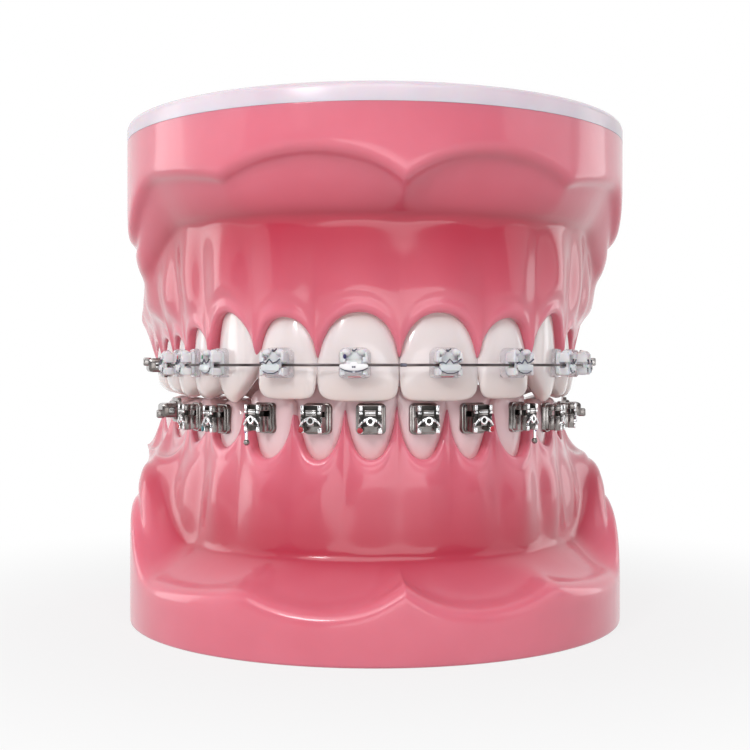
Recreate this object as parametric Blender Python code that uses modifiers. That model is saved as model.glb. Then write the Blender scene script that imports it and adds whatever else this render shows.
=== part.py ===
# Orthodontic demonstration model: two pink gum bases with their teeth, clear brackets and a round
# archwire above, steel brackets below, and a strap hinge at the back.
# X is to the right seen from the front, Y runs to the back and Z is up. The origin is on the
# underside, at the centre of the base's round front. All sizes are in millimetres.

import math

import bmesh
import bpy
import numpy as np
from mathutils import Matrix, Vector

for old in list(bpy.data.objects):
    bpy.data.objects.remove(old, do_unlink=True)

MM = 0.001

# Driving dimensions of the two bases
UPPER_RADIUS = 29.95
LOWER_RADIUS = 29.65
BASE_BOTTOM_CHAMFER = 0.3
BACK_MARGIN = 3.7
BITE_HEIGHT = 26.5
TOTAL_HEIGHT = 58.7
FLOOR_HEIGHT = 8.6
PLATE_THICKNESS = 2.1
PLATE_ROUND = 0.9
PLATE_SEAM = 0.05
PLATE_SIDES = 30

# The arches: the line of the teeth's outer faces, front of the midline to the second molars
UPPER_ARCH = {"front": -25.0, "half_width": 28.0, "depth": 42.3, "bow": 0.31}
LOWER_ARCH = {"front": -22.6, "half_width": 27.0, "depth": 39.8, "bow": 0.41}

# Teeth from the midline back: form, width, crown height, depth front to back, and how far the
# biting edge stands above the bite plane
UPPER_TEETH = (
    ("incisor", 8.8, 9.3, 6.6, 0.0),
    ("incisor", 7.1, 8.6, 6.0, 0.2),
    ("canine", 8.0, 9.9, 7.6, -0.3),
    ("premolar", 6.7, 8.4, 8.4, 0.2),
    ("premolar", 6.5, 7.7, 8.6, 0.2),
    ("molar", 10.0, 7.5, 10.4, 0.3),
    ("molar", 9.4, 7.0, 10.4, 0.4),
)
LOWER_TEETH = (
    ("incisor", 5.6, 7.8, 5.6, 1.7),
    ("incisor", 5.7, 7.8, 5.8, 1.7),
    ("canine", 6.8, 7.0, 7.2, 0.8),
    ("premolar", 6.9, 5.4, 7.8, 0.0),
    ("premolar", 7.0, 5.1, 8.2, 0.0),
    ("molar", 10.8, 5.0, 10.0, 0.0),
    ("molar", 10.0, 4.9, 10.0, 0.0),
)
TOOTH_NAMES = ("central", "lateral", "canine", "first_premolar", "second_premolar")
MOLAR = 5
ROOT_LENGTH = 6.0
CONTACT_OVERLAP = 0.5
MIDLINE_GAP = 0.1
SOCKET_GAP = 0.25

# Brackets: the clear ones above and the steel ones below
CLEAR = {
    "width": 3.2, "height": 3.0, "depth": 2.0, "slot_drop": 1.75,
    "door_width": 2.1, "door_height": 1.35, "notch": 0.9, "hole": 0.0,
}
STEEL = {
    "width": 3.0, "height": 3.1, "depth": 2.1, "slot_drop": 1.05,
    "door_width": 1.9, "door_height": 1.75, "notch": 0.9, "hole": 0.24,
}
PAD_THICKNESS = 0.45
PAD_MARGIN = 0.12
PAD_CORNER = 0.5
PAD_GAP = 0.06
WING_UNDERCUT = 0.4
WIRE_RADIUS = 0.19
SLOT_CLEARANCE = 0.09
WIRE_OUT = 1.2
WIRE_HEIGHT = 30.3
DOOR_THICKNESS = 0.28
DOOR_LIP = 0.22
DOOR_CLEARANCE = 0.05
BRACKET_BITE_GAP = 0.2
BRACKET_SHIFTS = (0.3, 0.4, 0.9, -0.6, 0.0)
HOOK_RADIUS = 0.16
HOOK_DROP = 1.1
HOOK_BALL = 0.33
TUBE_LENGTH = 4.0
TUBE_HEIGHT = 2.8
TUBE_DEPTH = 2.5
WIRE_END = 1.2

# Hinge at the back
HINGE_OUT = 4.2
HINGE_RISE = 2.0
HINGE_PLATE = 1.2
HINGE_PLATE_WIDTH = 20.0
HINGE_PLATE_HEIGHT = 6.0
HINGE_STRAP = 6.0
HINGE_KNUCKLE = 1.7
HINGE_GAP = 0.3
PIN_RADIUS = 0.8
PIN_CLEARANCE = 0.05
PIN_HEAD = 0.7
SCREW_RADIUS = 0.8
SCREW_LENGTH = 5.0
SCREW_HEAD = 1.6
SCREW_CLEARANCE = 0.1
SCREW_SPACING = 14.0

MODEL = bpy.data.collections.new("orthodontic_model")
GUIDES = bpy.data.collections.new("cutters")
bpy.context.scene.collection.children.link(MODEL)
bpy.context.scene.collection.children.link(GUIDES)


# Materials and helpers
def material(name, colour, roughness, metallic=0.0, transmission=0.0):
    made = bpy.data.materials.new(name)
    made.use_nodes = True
    shader = made.node_tree.nodes["Principled BSDF"]
    shader.inputs["Base Color"].default_value = (*colour, 1.0)
    shader.inputs["Roughness"].default_value = roughness
    shader.inputs["Metallic"].default_value = metallic
    shader.inputs["Transmission Weight"].default_value = transmission
    made.diffuse_color = (*colour, 1.0)
    return made


GUM_PINK = material("gum_pink", (0.75, 0.16, 0.20), 0.2)
PALE_PLATE = material("pale_plate", (0.75, 0.62, 0.69), 0.2)
IVORY = material("tooth_ivory", (0.82, 0.72, 0.64), 0.25)
CLEAR_CERAMIC = material("clear_ceramic", (0.9, 0.9, 0.93), 0.1, transmission=0.6)
STEEL_GREY = material("bracket_steel", (0.55, 0.55, 0.56), 0.25, metallic=1.0)
WIRE_STEEL = material("wire_steel", (0.45, 0.44, 0.45), 0.3, metallic=1.0)
HINGE_STEEL = material("hinge_steel", (0.6, 0.6, 0.62), 0.35, metallic=1.0)


def add_object(name, mesh, finish, guide=False):
    made = bpy.data.objects.new(name, mesh)
    (GUIDES if guide else MODEL).objects.link(made)
    if guide:
        made.hide_render = True
        made.display_type = "WIRE"
    if finish is not None and not mesh.materials:
        mesh.materials.append(finish)
    return made


def mesh_from(bm, name, smooth_angle=None):
    mesh = bpy.data.meshes.new(name)
    bmesh.ops.scale(bm, vec=(MM, MM, MM), verts=bm.verts)
    bm.to_mesh(mesh)
    bm.free()
    if smooth_angle:
        mesh.shade_smooth()
        mesh.set_sharp_from_angle(angle=math.radians(smooth_angle))
    return mesh


def box(bm, low, high, bevel=0.0):
    """Adds a box between two corners, with its edges broken by bevel."""
    size = Vector(high) - Vector(low)
    centre = (Vector(high) + Vector(low)) / 2
    made = bmesh.ops.create_cube(bm, size=1.0)["verts"]
    bmesh.ops.scale(bm, vec=size, verts=made)
    bmesh.ops.translate(bm, vec=centre, verts=made)
    if bevel:
        edges = list({edge for vert in made for edge in vert.link_edges})
        bmesh.ops.bevel(
            bm, geom=edges, offset=bevel, segments=1, affect="EDGES", profile=0.5, material=-1
        )


def cylinder(bm, centre, radius, length, axis, sides=16):
    """Adds a closed cylinder, centred, along the named axis."""
    turn = {
        "X": Matrix.Rotation(math.pi / 2, 4, "Y"),
        "Y": Matrix.Rotation(math.pi / 2, 4, "X"),
        "Z": Matrix.Identity(4),
    }[axis]
    bmesh.ops.create_cone(
        bm, cap_ends=True, segments=sides, radius1=radius, radius2=radius, depth=length,
        matrix=Matrix.Translation(centre) @ turn,
    )


def extrusion(name, outline, half_length, turn=None, centre=(0.0, 0.0, 0.0)):
    """A flat outline made a solid by extruding its face, turned and moved into place."""
    bm = bmesh.new()
    base = bm.faces.new([bm.verts.new((across, up, -half_length)) for across, up in outline])
    grown = bmesh.ops.extrude_face_region(bm, geom=[base], use_keep_orig=True)["geom"]
    far = [item for item in grown if isinstance(item, bmesh.types.BMVert)]
    bmesh.ops.translate(bm, vec=(0.0, 0.0, 2.0 * half_length), verts=far)
    bmesh.ops.recalc_face_normals(bm, faces=bm.faces)
    shift = Matrix.Translation(centre)
    bmesh.ops.transform(bm, matrix=shift @ (turn or Matrix.Identity(4)), verts=bm.verts)
    return mesh_from(bm, name)


def from_curve(holder):
    """The mesh of a curve object, with its caps welded on; the curve is removed."""
    bpy.context.view_layer.update()
    seen = holder.evaluated_get(bpy.context.evaluated_depsgraph_get())
    mesh = bpy.data.meshes.new_from_object(seen)
    bm = bmesh.new()
    bm.from_mesh(mesh)
    bmesh.ops.remove_doubles(bm, verts=bm.verts, dist=1e-6)
    bmesh.ops.recalc_face_normals(bm, faces=bm.faces)
    bm.to_mesh(mesh)
    bm.free()
    bpy.data.objects.remove(holder, do_unlink=True)
    return mesh


def combined(name, mesh, steps, finish):
    """A mesh after a run of Boolean steps, enlarged to millimetres so that fine features hold."""
    enlarge = Matrix.Scale(1.0 / MM, 4)
    mesh.transform(enlarge)
    piece = add_object(name, mesh, finish, guide=True)
    helpers = []
    for operation, other in steps:
        other.transform(enlarge)
        helper = add_object(name + "_step", other, finish, guide=True)
        helpers.append(helper)
        step = piece.modifiers.new(operation.lower(), "BOOLEAN")
        step.operation = operation
        step.solver = "EXACT"
        step.object = helper
    bpy.context.view_layer.update()
    seen = piece.evaluated_get(bpy.context.evaluated_depsgraph_get())
    result = bpy.data.meshes.new_from_object(seen)
    for used in (piece, *helpers):
        bpy.data.objects.remove(used, do_unlink=True)
    bm = bmesh.new()
    bm.from_mesh(result)
    bmesh.ops.remove_doubles(bm, verts=bm.verts, dist=0.003)
    bmesh.ops.dissolve_degenerate(bm, dist=0.001, edges=bm.edges)
    bmesh.ops.triangulate(bm, faces=bm.faces)
    bmesh.ops.scale(bm, vec=(MM, MM, MM), verts=bm.verts)
    bm.to_mesh(result)
    bm.free()
    result.name = name
    return result


# The arch of the teeth: a bowed line that steepens to the back
def arch_table(arch):
    across = np.linspace(0.0, arch["half_width"] * 1.06, 3000)
    share = across / arch["half_width"]
    back = arch["front"] + arch["depth"] * (
        arch["bow"] * share ** 2 + (1.0 - arch["bow"]) * share ** 6
    )
    steps = np.hypot(np.diff(across), np.diff(back))
    return np.concatenate([[0.0], np.cumsum(steps)]), across, back


def arch_place(table, length, out=0.0):
    """Point, heading and curvature of the right half's line at this length from the midline."""
    along, across, back = table
    span = 0.4
    sides = [
        Vector((np.interp(where, along, across), np.interp(where, along, back)))
        for where in (max(length - span, 0.0), length, length + span)
    ]
    first = sides[1] - sides[0] if length > span else sides[2] - sides[1]
    second = sides[2] - sides[1]
    heading = math.atan2((first + second).y, (first + second).x) if length > 0.0 else 0.0
    bend = abs(second.angle_signed(first)) / span if length > span else 0.033
    outward = Vector((math.sin(heading), -math.cos(heading)))
    return sides[1] + outward * out, heading, bend


def tooth_spans(teeth):
    """Start and centre of each tooth along the arch, and the end of the row."""
    start = 0.0
    spans = []
    for tooth in teeth:
        spans.append((start, start + tooth[1] / 2))
        start += tooth[1]
    return spans, start


JAWS = {
    "upper": {
        "arch": arch_table(UPPER_ARCH), "teeth": UPPER_TEETH, "way": 1.0,
        "radius": UPPER_RADIUS,
        "rim_frenum": 9.2, "rim_lobe": 2.5, "rim_side": 13.8, "fold": 12.3, "fold_side": 17.0,
        "frenum_angle": 38.0, "wall": 1.4, "foot": PLATE_THICKNESS + PLATE_SEAM, "chamfer": 0.0,
        "side_turns": (62.0, 90.0), "flare": 1.4, "flare_turns": (76.0, 90.0),
        "papilla": 0.66, "roots": (0.3, 0.35, 0.75, 0.6, 0.6, 0.6, 0.5),
    },
    "lower": {
        "arch": arch_table(LOWER_ARCH), "teeth": LOWER_TEETH, "way": -1.0,
        "radius": LOWER_RADIUS,
        "rim_frenum": 7.0, "rim_lobe": 1.8, "rim_side": 13.2, "fold": 9.0, "fold_side": 17.0,
        "frenum_angle": 33.5, "wall": 1.5, "foot": 0.0, "chamfer": BASE_BOTTOM_CHAMFER,
        "side_turns": (60.0, 90.0), "flare": 2.6, "flare_turns": (56.0, 86.0),
        "papilla": 0.66, "roots": (0.2, 0.25, 0.6, 0.6, 0.6, 0.6, 0.5),
    },
}
for jaw in JAWS.values():
    jaw["spans"], jaw["row_end"] = tooth_spans(jaw["teeth"])
BACK = arch_place(JAWS["upper"]["arch"], JAWS["upper"]["row_end"])[0].y + BACK_MARGIN


# Teeth
# Rings of each form: height from the biting edge as a share of the crown, width and depth as
# shares of the tooth's own, and the set-back of the outer face
TOOTH_RINGS = {
    "incisor": (
        (0.0, 0.86, 0.17, 0.35), (0.1, 0.96, 0.24, 0.1), (0.35, 1.0, 0.45, 0.0),
        (0.7, 0.9, 0.8, 0.08), (1.0, 0.68, 0.95, 0.5),
    ),
    "canine": (
        (0.0, 0.7, 0.2, 0.6), (0.14, 0.9, 0.32, 0.2), (0.38, 1.0, 0.6, 0.0),
        (0.7, 0.9, 0.88, 0.08), (1.0, 0.68, 1.0, 0.5),
    ),
    "premolar": (
        (0.0, 0.68, 0.66, 1.0), (0.18, 0.9, 0.88, 0.35), (0.5, 1.0, 1.0, 0.0),
        (1.0, 0.74, 0.88, 0.5),
    ),
    "molar": (
        (0.0, 0.78, 0.72, 1.0), (0.18, 0.93, 0.9, 0.35), (0.5, 1.0, 1.0, 0.0),
        (1.0, 0.86, 0.88, 0.6),
    ),
}
WIDEST_RING = 2
CUSP_HEIGHT = {"incisor": 0.0, "canine": 1.9, "premolar": 0.9, "molar": 0.7}
FOSSA_DEPTH = {"incisor": 0.0, "canine": 0.0, "premolar": 0.9, "molar": 0.8}
RING_SIDES = 8


def tooth_ring(width, depth, set_back, taper, sides, grow):
    """One level of a tooth, flatter in front and narrower behind."""
    points = []
    for step in range(sides):
        angle = 2.0 * math.pi * step / sides
        side, front = math.cos(angle), math.sin(angle)
        squareness = 0.8
        side = math.copysign(abs(side) ** squareness, side)
        front = math.copysign(abs(front) ** squareness, front)
        narrowing = 1.0 + taper * front / 2
        across = side * (width / 2 * narrowing + grow)
        inward = set_back + depth / 2 - front * (depth / 2 + grow)
        points.append((across, inward, angle))
    return points


def cusp_drop(form, angle, share, across, half_width):
    """How far a point of the biting face lies below the cusp tips."""
    fade = max(0.0, 1.0 - share / 0.5)
    if form == "canine":
        return CUSP_HEIGHT[form] * fade * abs(across) / half_width
    if form == "premolar":
        return CUSP_HEIGHT[form] * fade * math.cos(angle) ** 2
    if form == "molar":
        return CUSP_HEIGHT[form] * fade * (0.5 + 0.5 * math.cos(4.0 * angle))
    return 0.0


def contact_depth(jaw, index):
    """How far inside the arch line a tooth is widest."""
    form, _, _, depth, _ = jaw["teeth"][min(max(index, 0), len(jaw["teeth"]) - 1)]
    return depth * TOOTH_RINGS[form][WIDEST_RING][2] / 2


def contact_place(jaw, length, before):
    """Where two neighbours touch, inside the arch line."""
    inside = (contact_depth(jaw, before) + contact_depth(jaw, before + 1)) / 2
    return arch_place(jaw["arch"], length, -inside)[0]


def tooth_frame(jaw, index):
    """Middle of a tooth's outer face, its heading along the arch, its width and the arch's bend."""
    width = jaw["teeth"][index][1]
    start, centre = jaw["spans"][index]
    place, _, bend = arch_place(jaw["arch"], centre)
    chord = contact_place(jaw, start + width, index) - contact_place(jaw, start, index - 1)
    return place, math.atan2(chord.y, chord.x), chord.length + CONTACT_OVERLAP, bend


def tooth_mesh(bm, jaw, index, grow=0.0):
    """Lofts one tooth of the right half; with grow it is the cutter of the socket."""
    form, _, crown, depth, edge = jaw["teeth"][index]
    place, heading, wide, bend = tooth_frame(jaw, index)
    taper = min(0.45, depth * bend * 0.9 + 0.08)
    sides = RING_SIDES
    levels = [
        (share * crown, share, wide * across, depth * deep, back)
        for share, across, deep, back in TOOTH_RINGS[form]
    ]
    neck = levels[-1]
    levels.append(
        (crown + ROOT_LENGTH + grow, 2.0, neck[2] * 0.55, neck[3] * 0.6, neck[4] + neck[3] * 0.2)
    )
    if grow:
        levels = [level for level in levels if level[1] >= 0.3]
    rings = []
    for rise, share, across, deep, back in levels:
        ring = []
        for side, inward, angle in tooth_ring(across, deep, back, taper, sides, grow):
            drop = cusp_drop(form, angle, share, side, wide / 2)
            height = BITE_HEIGHT + edge + jaw["way"] * (rise + drop)
            local = Vector((side, inward, 0.0))
            local.rotate(Matrix.Rotation(heading, 3, "Z"))
            ring.append(bm.verts.new((place.x + local.x, place.y + local.y, height)))
        rings.append(ring)
    for low, high in zip(rings, rings[1:]):
        for step in range(sides):
            after = (step + 1) % sides
            bm.faces.new((low[step], low[after], high[after], high[step]))
    middle = sum((vert.co for vert in rings[0]), Vector()) / sides
    middle.z += jaw["way"] * (0.0 if grow else FOSSA_DEPTH[form])
    hub = bm.verts.new(middle)
    for step in range(sides):
        bm.faces.new((hub, rings[0][step], rings[0][(step + 1) % sides]))
    bm.faces.new(rings[-1])
    bmesh.ops.recalc_face_normals(bm, faces=bm.faces)


def half_row(name, jaw, grow=0.0):
    """Seven teeth of the right half, joined where they touch."""
    meshes = []
    for index in range(len(jaw["teeth"])):
        bm = bmesh.new()
        tooth_mesh(bm, jaw, index, grow)
        if index == 0 and not grow:
            trim_at_midline(bm)
        meshes.append(mesh_from(bm, name))
    return combined(name, meshes[0], [("UNION", other) for other in meshes[1:]], IVORY)


def trim_at_midline(bm):
    """Keeps the central tooth clear of its neighbour across the midline."""
    for vert in bm.verts:
        vert.co.x = max(vert.co.x, MIDLINE_GAP / 2)


def mirrored(mesh, name):
    bm = bmesh.new()
    bm.from_mesh(mesh)
    bmesh.ops.scale(bm, vec=(-1.0, 1.0, 1.0), verts=bm.verts)
    bmesh.ops.reverse_faces(bm, faces=bm.faces)
    copy = bpy.data.meshes.new(name)
    bm.to_mesh(copy)
    bm.free()
    for slot in mesh.materials:
        copy.materials.append(slot)
    return copy


def build_teeth(jaw_name):
    jaw = JAWS[jaw_name]
    right = half_row(jaw_name + "_right_teeth", jaw)
    left = mirrored(right, jaw_name + "_left_teeth")
    return [
        add_object(jaw_name + "_right_teeth", right, IVORY),
        add_object(jaw_name + "_left_teeth", left, IVORY),
    ]


# Gum bases
# Sections stand on lines that fan out from the midline through the arch to the base's wall
FAN_FRONT = -6.0
FAN_POWER = 1.6
SIDE_RIDGE = 0.7
FLARE_EDGE = 0.5
FLOOR_EDGE = 5.0
FLOOR_CURVE = 2.2
INNER_WALL = 0.9
LIP = 0.7
LIP_ROLL = 0.35
RIM_ROUND = 0.7


def smooth(low, high, value):
    share = min(1.0, max(0.0, (value - low) / (high - low)))
    return share * share * (3.0 - 2.0 * share)


def wall_distance(centre, through, radius):
    """From the fan's centre through the arch to the outer wall: the way and the distance."""
    way = (through - centre).normalized()
    if way.x > 1e-6:
        distance = (radius - centre.x) / way.x
        if centre.y + way.y * distance >= 0.0:
            return way, distance
    along = centre.dot(way)
    inside = along * along - centre.length_squared + radius * radius
    return way, -along + math.sqrt(inside)


def lobe(angle, frenum):
    """Bulge of the wall between the frena: 0 at each frenum and 1 between them."""
    reach = abs(angle)
    if reach < frenum:
        return math.sin(math.pi * reach / frenum) ** 0.7
    return math.sin(math.pi * min(1.0, (reach - frenum) / (2.0 * frenum))) ** 0.7


def gum_stations(jaw):
    """Lengths along the arch with the tooth's index and its share between two contacts."""
    stations = []
    for index, (start, _) in enumerate(jaw["spans"]):
        width = jaw["teeth"][index][1]
        steps = 4 if index < 3 else 2
        for step in range(steps):
            stations.append((start + width * step / steps, index, step / steps))
    stations.append((jaw["row_end"], len(jaw["teeth"]) - 1, 1.0))
    return stations


def gum_section(jaw, length, index, share):
    """The points of one section from the fan's centre to the wall and back under the base."""
    table = jaw["arch"]
    place = arch_place(table, length)[0]
    end_length = float(np.interp(BACK, table[2], table[0]))
    centre = Vector((0.0, FAN_FRONT + (BACK - FAN_FRONT) * (length / end_length) ** FAN_POWER))
    way, reach = wall_distance(centre, place, jaw["radius"])
    outer = reach - (place - centre).length
    inner = -(place - centre).length
    neighbour = min(len(jaw["teeth"]) - 1, max(0, index + (1 if share > 0.5 else -1)))
    blend = abs(share - 0.5)
    crown, depth, edge = (
        jaw["teeth"][index][item] * (1.0 - blend) + jaw["teeth"][neighbour][item] * blend
        for item in (2, 3, 4)
    )
    root = jaw["roots"][index] * (1.0 - blend) + jaw["roots"][neighbour] * blend
    between = (2.0 * abs(share - 0.5)) ** 2.4
    base_face = TOTAL_HEIGHT if jaw["way"] > 0 else 0.0
    bite = abs(base_face - BITE_HEIGHT)
    margin = bite - jaw["way"] * edge - crown
    peak = margin + crown * (1.0 - jaw["papilla"]) * between
    turn = math.degrees(math.atan2(reach * way.x, -(centre.y + reach * way.y)))
    side = smooth(*jaw["side_turns"], turn)
    rim = jaw["rim_frenum"] - jaw["rim_lobe"] * lobe(turn, jaw["frenum_angle"])
    rim = rim * (1.0 - side) + jaw["rim_side"] * side
    fold = jaw["fold"] * (1.0 - side) + jaw["fold_side"] * side
    bulge = root * (1.0 - between)
    ridge = min(jaw["wall"] + SIDE_RIDGE * side, outer * 0.6)
    flare = jaw["flare"] * smooth(*jaw["flare_turns"], turn)
    crest = ridge + max(0.0, min(flare, outer - ridge - FLARE_EDGE))
    rim_round = RIM_ROUND * min(1.0, (outer - crest) / 2.0)
    foot = jaw["foot"]
    chamfer = jaw["chamfer"]
    points = [
        (inner, FLOOR_HEIGHT),
        (-depth - FLOOR_EDGE, FLOOR_HEIGHT + 0.6),
        (-depth - FLOOR_CURVE, FLOOR_HEIGHT + 3.6),
        (-depth - INNER_WALL, margin - 1.5),
        (-depth - 0.2 + INNER_WALL * between, margin + 0.2 + 0.35 * (peak - margin)),
        (LIP_ROLL - 1.5 * between, peak),
        (LIP - 0.5 * between, margin + 0.35 * (peak - margin) - 0.9),
        (ridge * 0.3 + crest * 0.45 + bulge, margin * 0.5 + fold * 0.5),
        (crest + bulge * 0.4, fold + 0.4),
        ((crest + outer) / 2, (rim + fold) / 2 - 0.3),
        (outer - rim_round, rim + 0.2),
        (outer, rim - 0.6),
        (outer, foot + chamfer),
    ]
    if chamfer:
        points.append((outer - chamfer * 0.75, foot))
    points.append((inner, foot))
    solid = []
    for out, rise in points:
        spot = place + way * out
        if out <= inner:
            spot = centre
        solid.append((max(spot.x, 0.0), spot.y, base_face - jaw["way"] * rise))
    return solid


def gum_mesh(name, jaw):
    table = jaw["arch"]
    rows = [gum_section(jaw, *station) for station in gum_stations(jaw)]
    end_length = float(np.interp(BACK, table[2], table[0]))
    rows.append(gum_section(jaw, end_length, len(jaw["teeth"]) - 1, 0.5))
    bm = bmesh.new()
    grid = [[bm.verts.new(point) for point in row] for row in rows]
    for near, far in zip(grid, grid[1:]):
        for step in range(len(near) - 1):
            bm.faces.new((near[step], near[step + 1], far[step + 1], far[step]))
    bm.faces.new(grid[-1])
    bmesh.ops.recalc_face_normals(bm, faces=bm.faces)
    return mesh_from(bm, name, smooth_angle=40)


def build_gum(jaw_name):
    jaw = JAWS[jaw_name]
    name = jaw_name + "_gum"
    half = add_object(name + "_half", gum_mesh(name, jaw), GUM_PINK, guide=True)
    mirror = half.modifiers.new("other_half", "MIRROR")
    mirror.use_axis = (True, False, False)
    mirror.use_clip = True
    mirror.merge_threshold = 0.00001
    bpy.context.view_layer.update()
    whole = bpy.data.meshes.new_from_object(
        half.evaluated_get(bpy.context.evaluated_depsgraph_get())
    )
    bpy.data.objects.remove(half, do_unlink=True)
    bm = bmesh.new()
    bm.from_mesh(whole)
    bmesh.ops.recalc_face_normals(bm, faces=bm.faces)
    bm.to_mesh(whole)
    bm.free()
    right_sockets = half_row(name + "_sockets", jaw, SOCKET_GAP)
    left_sockets = mirrored(right_sockets, name + "_sockets")
    steps = [("DIFFERENCE", right_sockets), ("DIFFERENCE", left_sockets)]
    for place in screw_places(jaw_name):
        bm = bmesh.new()
        depth = SCREW_LENGTH + SCREW_CLEARANCE
        cylinder(bm, place - Vector((0.0, depth / 2 - 0.5, 0.0)),
                 SCREW_RADIUS + SCREW_CLEARANCE, depth + 1.0, "Y", 8)
        steps.append(("DIFFERENCE", mesh_from(bm, name + "_hole")))
    return add_object(name, combined(name, whole, steps, GUM_PINK), GUM_PINK)


# The pale plate on the upper base: the base's outline, with a rounded upper edge
def build_plate():
    bottom = TOTAL_HEIGHT - PLATE_THICKNESS
    outline = [(UPPER_RADIUS, BACK), (-UPPER_RADIUS, BACK)]
    for step in range(PLATE_SIDES + 1):
        turn = math.pi * (step / PLATE_SIDES - 0.5)
        outline.append((UPPER_RADIUS * math.sin(turn), -UPPER_RADIUS * math.cos(turn)))
    bm = bmesh.new()
    face = bm.faces.new([bm.verts.new((across, back, bottom)) for across, back in outline])
    grown = bmesh.ops.extrude_face_region(bm, geom=[face])["geom"]
    upper_verts = [item for item in grown if isinstance(item, bmesh.types.BMVert)]
    upper_face = [item for item in grown if isinstance(item, bmesh.types.BMFace)][0]
    bmesh.ops.translate(bm, vec=(0.0, 0.0, PLATE_THICKNESS), verts=upper_verts)
    bmesh.ops.bevel(bm, geom=list(upper_face.edges), offset=PLATE_ROUND, segments=2, profile=0.5,
                    affect="EDGES")
    bmesh.ops.recalc_face_normals(bm, faces=bm.faces)
    return add_object("upper_plate", mesh_from(bm, "upper_plate", smooth_angle=40), PALE_PLATE)


# Brackets: a pad on the tooth and a slotted body with tie wings, closed by a sliding door
def door_outline(spec, clearance):
    """Section of the door across its travel: a wide tongue behind a narrower face."""
    tongue = spec["door_width"] / 2 + clearance
    face = tongue - DOOR_LIP
    back = WIRE_OUT + WIRE_RADIUS + SLOT_CLEARANCE - clearance + DOOR_CLEARANCE
    lip = back + DOOR_THICKNESS + 2.0 * clearance
    front = spec["depth"] + (0.3 if clearance else 0.08)
    return [
        (-tongue, -back), (tongue, -back), (tongue, -lip), (face, -lip),
        (face, -front), (-face, -front), (-face, -lip), (-tongue, -lip),
    ]


def bracket_levels(spec):
    """Heights from the slot's centre: the body's top and bottom, and the door's."""
    top = spec["slot_drop"]
    bottom = top - spec["height"]
    door_top = WIRE_RADIUS + SLOT_CLEARANCE + 0.2
    return top, bottom, door_top, door_top - spec["door_height"]


def pad_mesh(name, half_width, bottom, top):
    """The plate bonded to the tooth, with its corners cut."""
    corner = PAD_CORNER
    outline = []
    for across, up, first, second in (
        (1, bottom, (-corner, 0.0), (0.0, corner)), (1, top, (0.0, -corner), (-corner, 0.0)),
        (-1, top, (corner, 0.0), (0.0, -corner)), (-1, bottom, (0.0, corner), (corner, 0.0)),
    ):
        for step_across, step_up in (first, second):
            outline.append((across * half_width + step_across, up + step_up))
    facing = Matrix.Rotation(math.pi / 2, 4, "X")
    return extrusion(name + "_pad", outline, PAD_THICKNESS / 2, turn=facing,
                     centre=(0.0, -PAD_GAP - PAD_THICKNESS / 2, 0.0))


def bracket_body(name, spec, finish, hook_side=0):
    """The body about the slot's centre, facing -Y, with y = 0 at the tooth."""
    top, bottom, door_top, _ = bracket_levels(spec)
    slot = WIRE_RADIUS + SLOT_CLEARANCE
    pad = PAD_GAP + PAD_THICKNESS
    waist = pad + 0.35
    front = spec["depth"]
    slot_floor = WIRE_OUT - WIRE_RADIUS - SLOT_CLEARANCE
    cut = WING_UNDERCUT
    profile = [
        (-pad + 0.1, top - cut), (-waist, top - cut), (-waist - 0.1, top - 0.08),
        (-front + 0.35, top), (-front, top - 0.3), (-front, slot), (-slot_floor, slot),
        (-slot_floor, -slot), (-front, -slot), (-front, bottom + 0.3),
        (-front + 0.35, bottom), (-waist - 0.1, bottom + 0.08), (-waist, bottom + cut),
        (-pad + 0.1, bottom + cut),
    ]
    upright = Matrix(((0, 0, 1, 0), (1, 0, 0, 0), (0, 1, 0, 0), (0, 0, 0, 1)))
    body = extrusion(name, profile, spec["width"] / 2, turn=upright)
    half_pad = spec["width"] / 2 + PAD_MARGIN
    steps = [("UNION", pad_mesh(name, half_pad, bottom - PAD_MARGIN, top + PAD_MARGIN))]
    channel_bottom = bottom - 1.0
    channel = extrusion(
        name + "_channel", door_outline(spec, DOOR_CLEARANCE),
        (door_top + DOOR_CLEARANCE - channel_bottom) / 2,
        centre=(0.0, 0.0, (door_top + DOOR_CLEARANCE + channel_bottom) / 2),
    )
    steps.append(("DIFFERENCE", channel))
    bm = bmesh.new()
    box(bm, (-spec["notch"] / 2, -front - 0.5, top - cut - 0.15),
        (spec["notch"] / 2, -waist - 0.2, top + 0.5))
    steps.append(("DIFFERENCE", mesh_from(bm, name + "_notch")))
    if hook_side:
        steps.append(("UNION", hook_mesh(name, spec, bottom, hook_side)))
        steps.append(("UNION", ball_mesh(name, spec, bottom, hook_side)))
    return combined(name, body, steps, finish)


def hook_place(spec, hook_side):
    return hook_side * (spec["width"] / 2 - HOOK_RADIUS - 0.05), -spec["depth"] + 0.45


def hook_mesh(name, spec, bottom, hook_side):
    across, out = hook_place(spec, hook_side)
    bm = bmesh.new()
    length = HOOK_DROP + 0.5
    cylinder(bm, (across, out, bottom + 0.5 - length / 2), HOOK_RADIUS, length, "Z", 8)
    return mesh_from(bm, name + "_hook")


def ball_mesh(name, spec, bottom, hook_side):
    across, out = hook_place(spec, hook_side)
    bm = bmesh.new()
    bmesh.ops.create_uvsphere(
        bm, u_segments=8, v_segments=5, radius=HOOK_BALL,
        matrix=Matrix.Translation((across, out, bottom - HOOK_DROP)),
    )
    return mesh_from(bm, name + "_ball")


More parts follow.
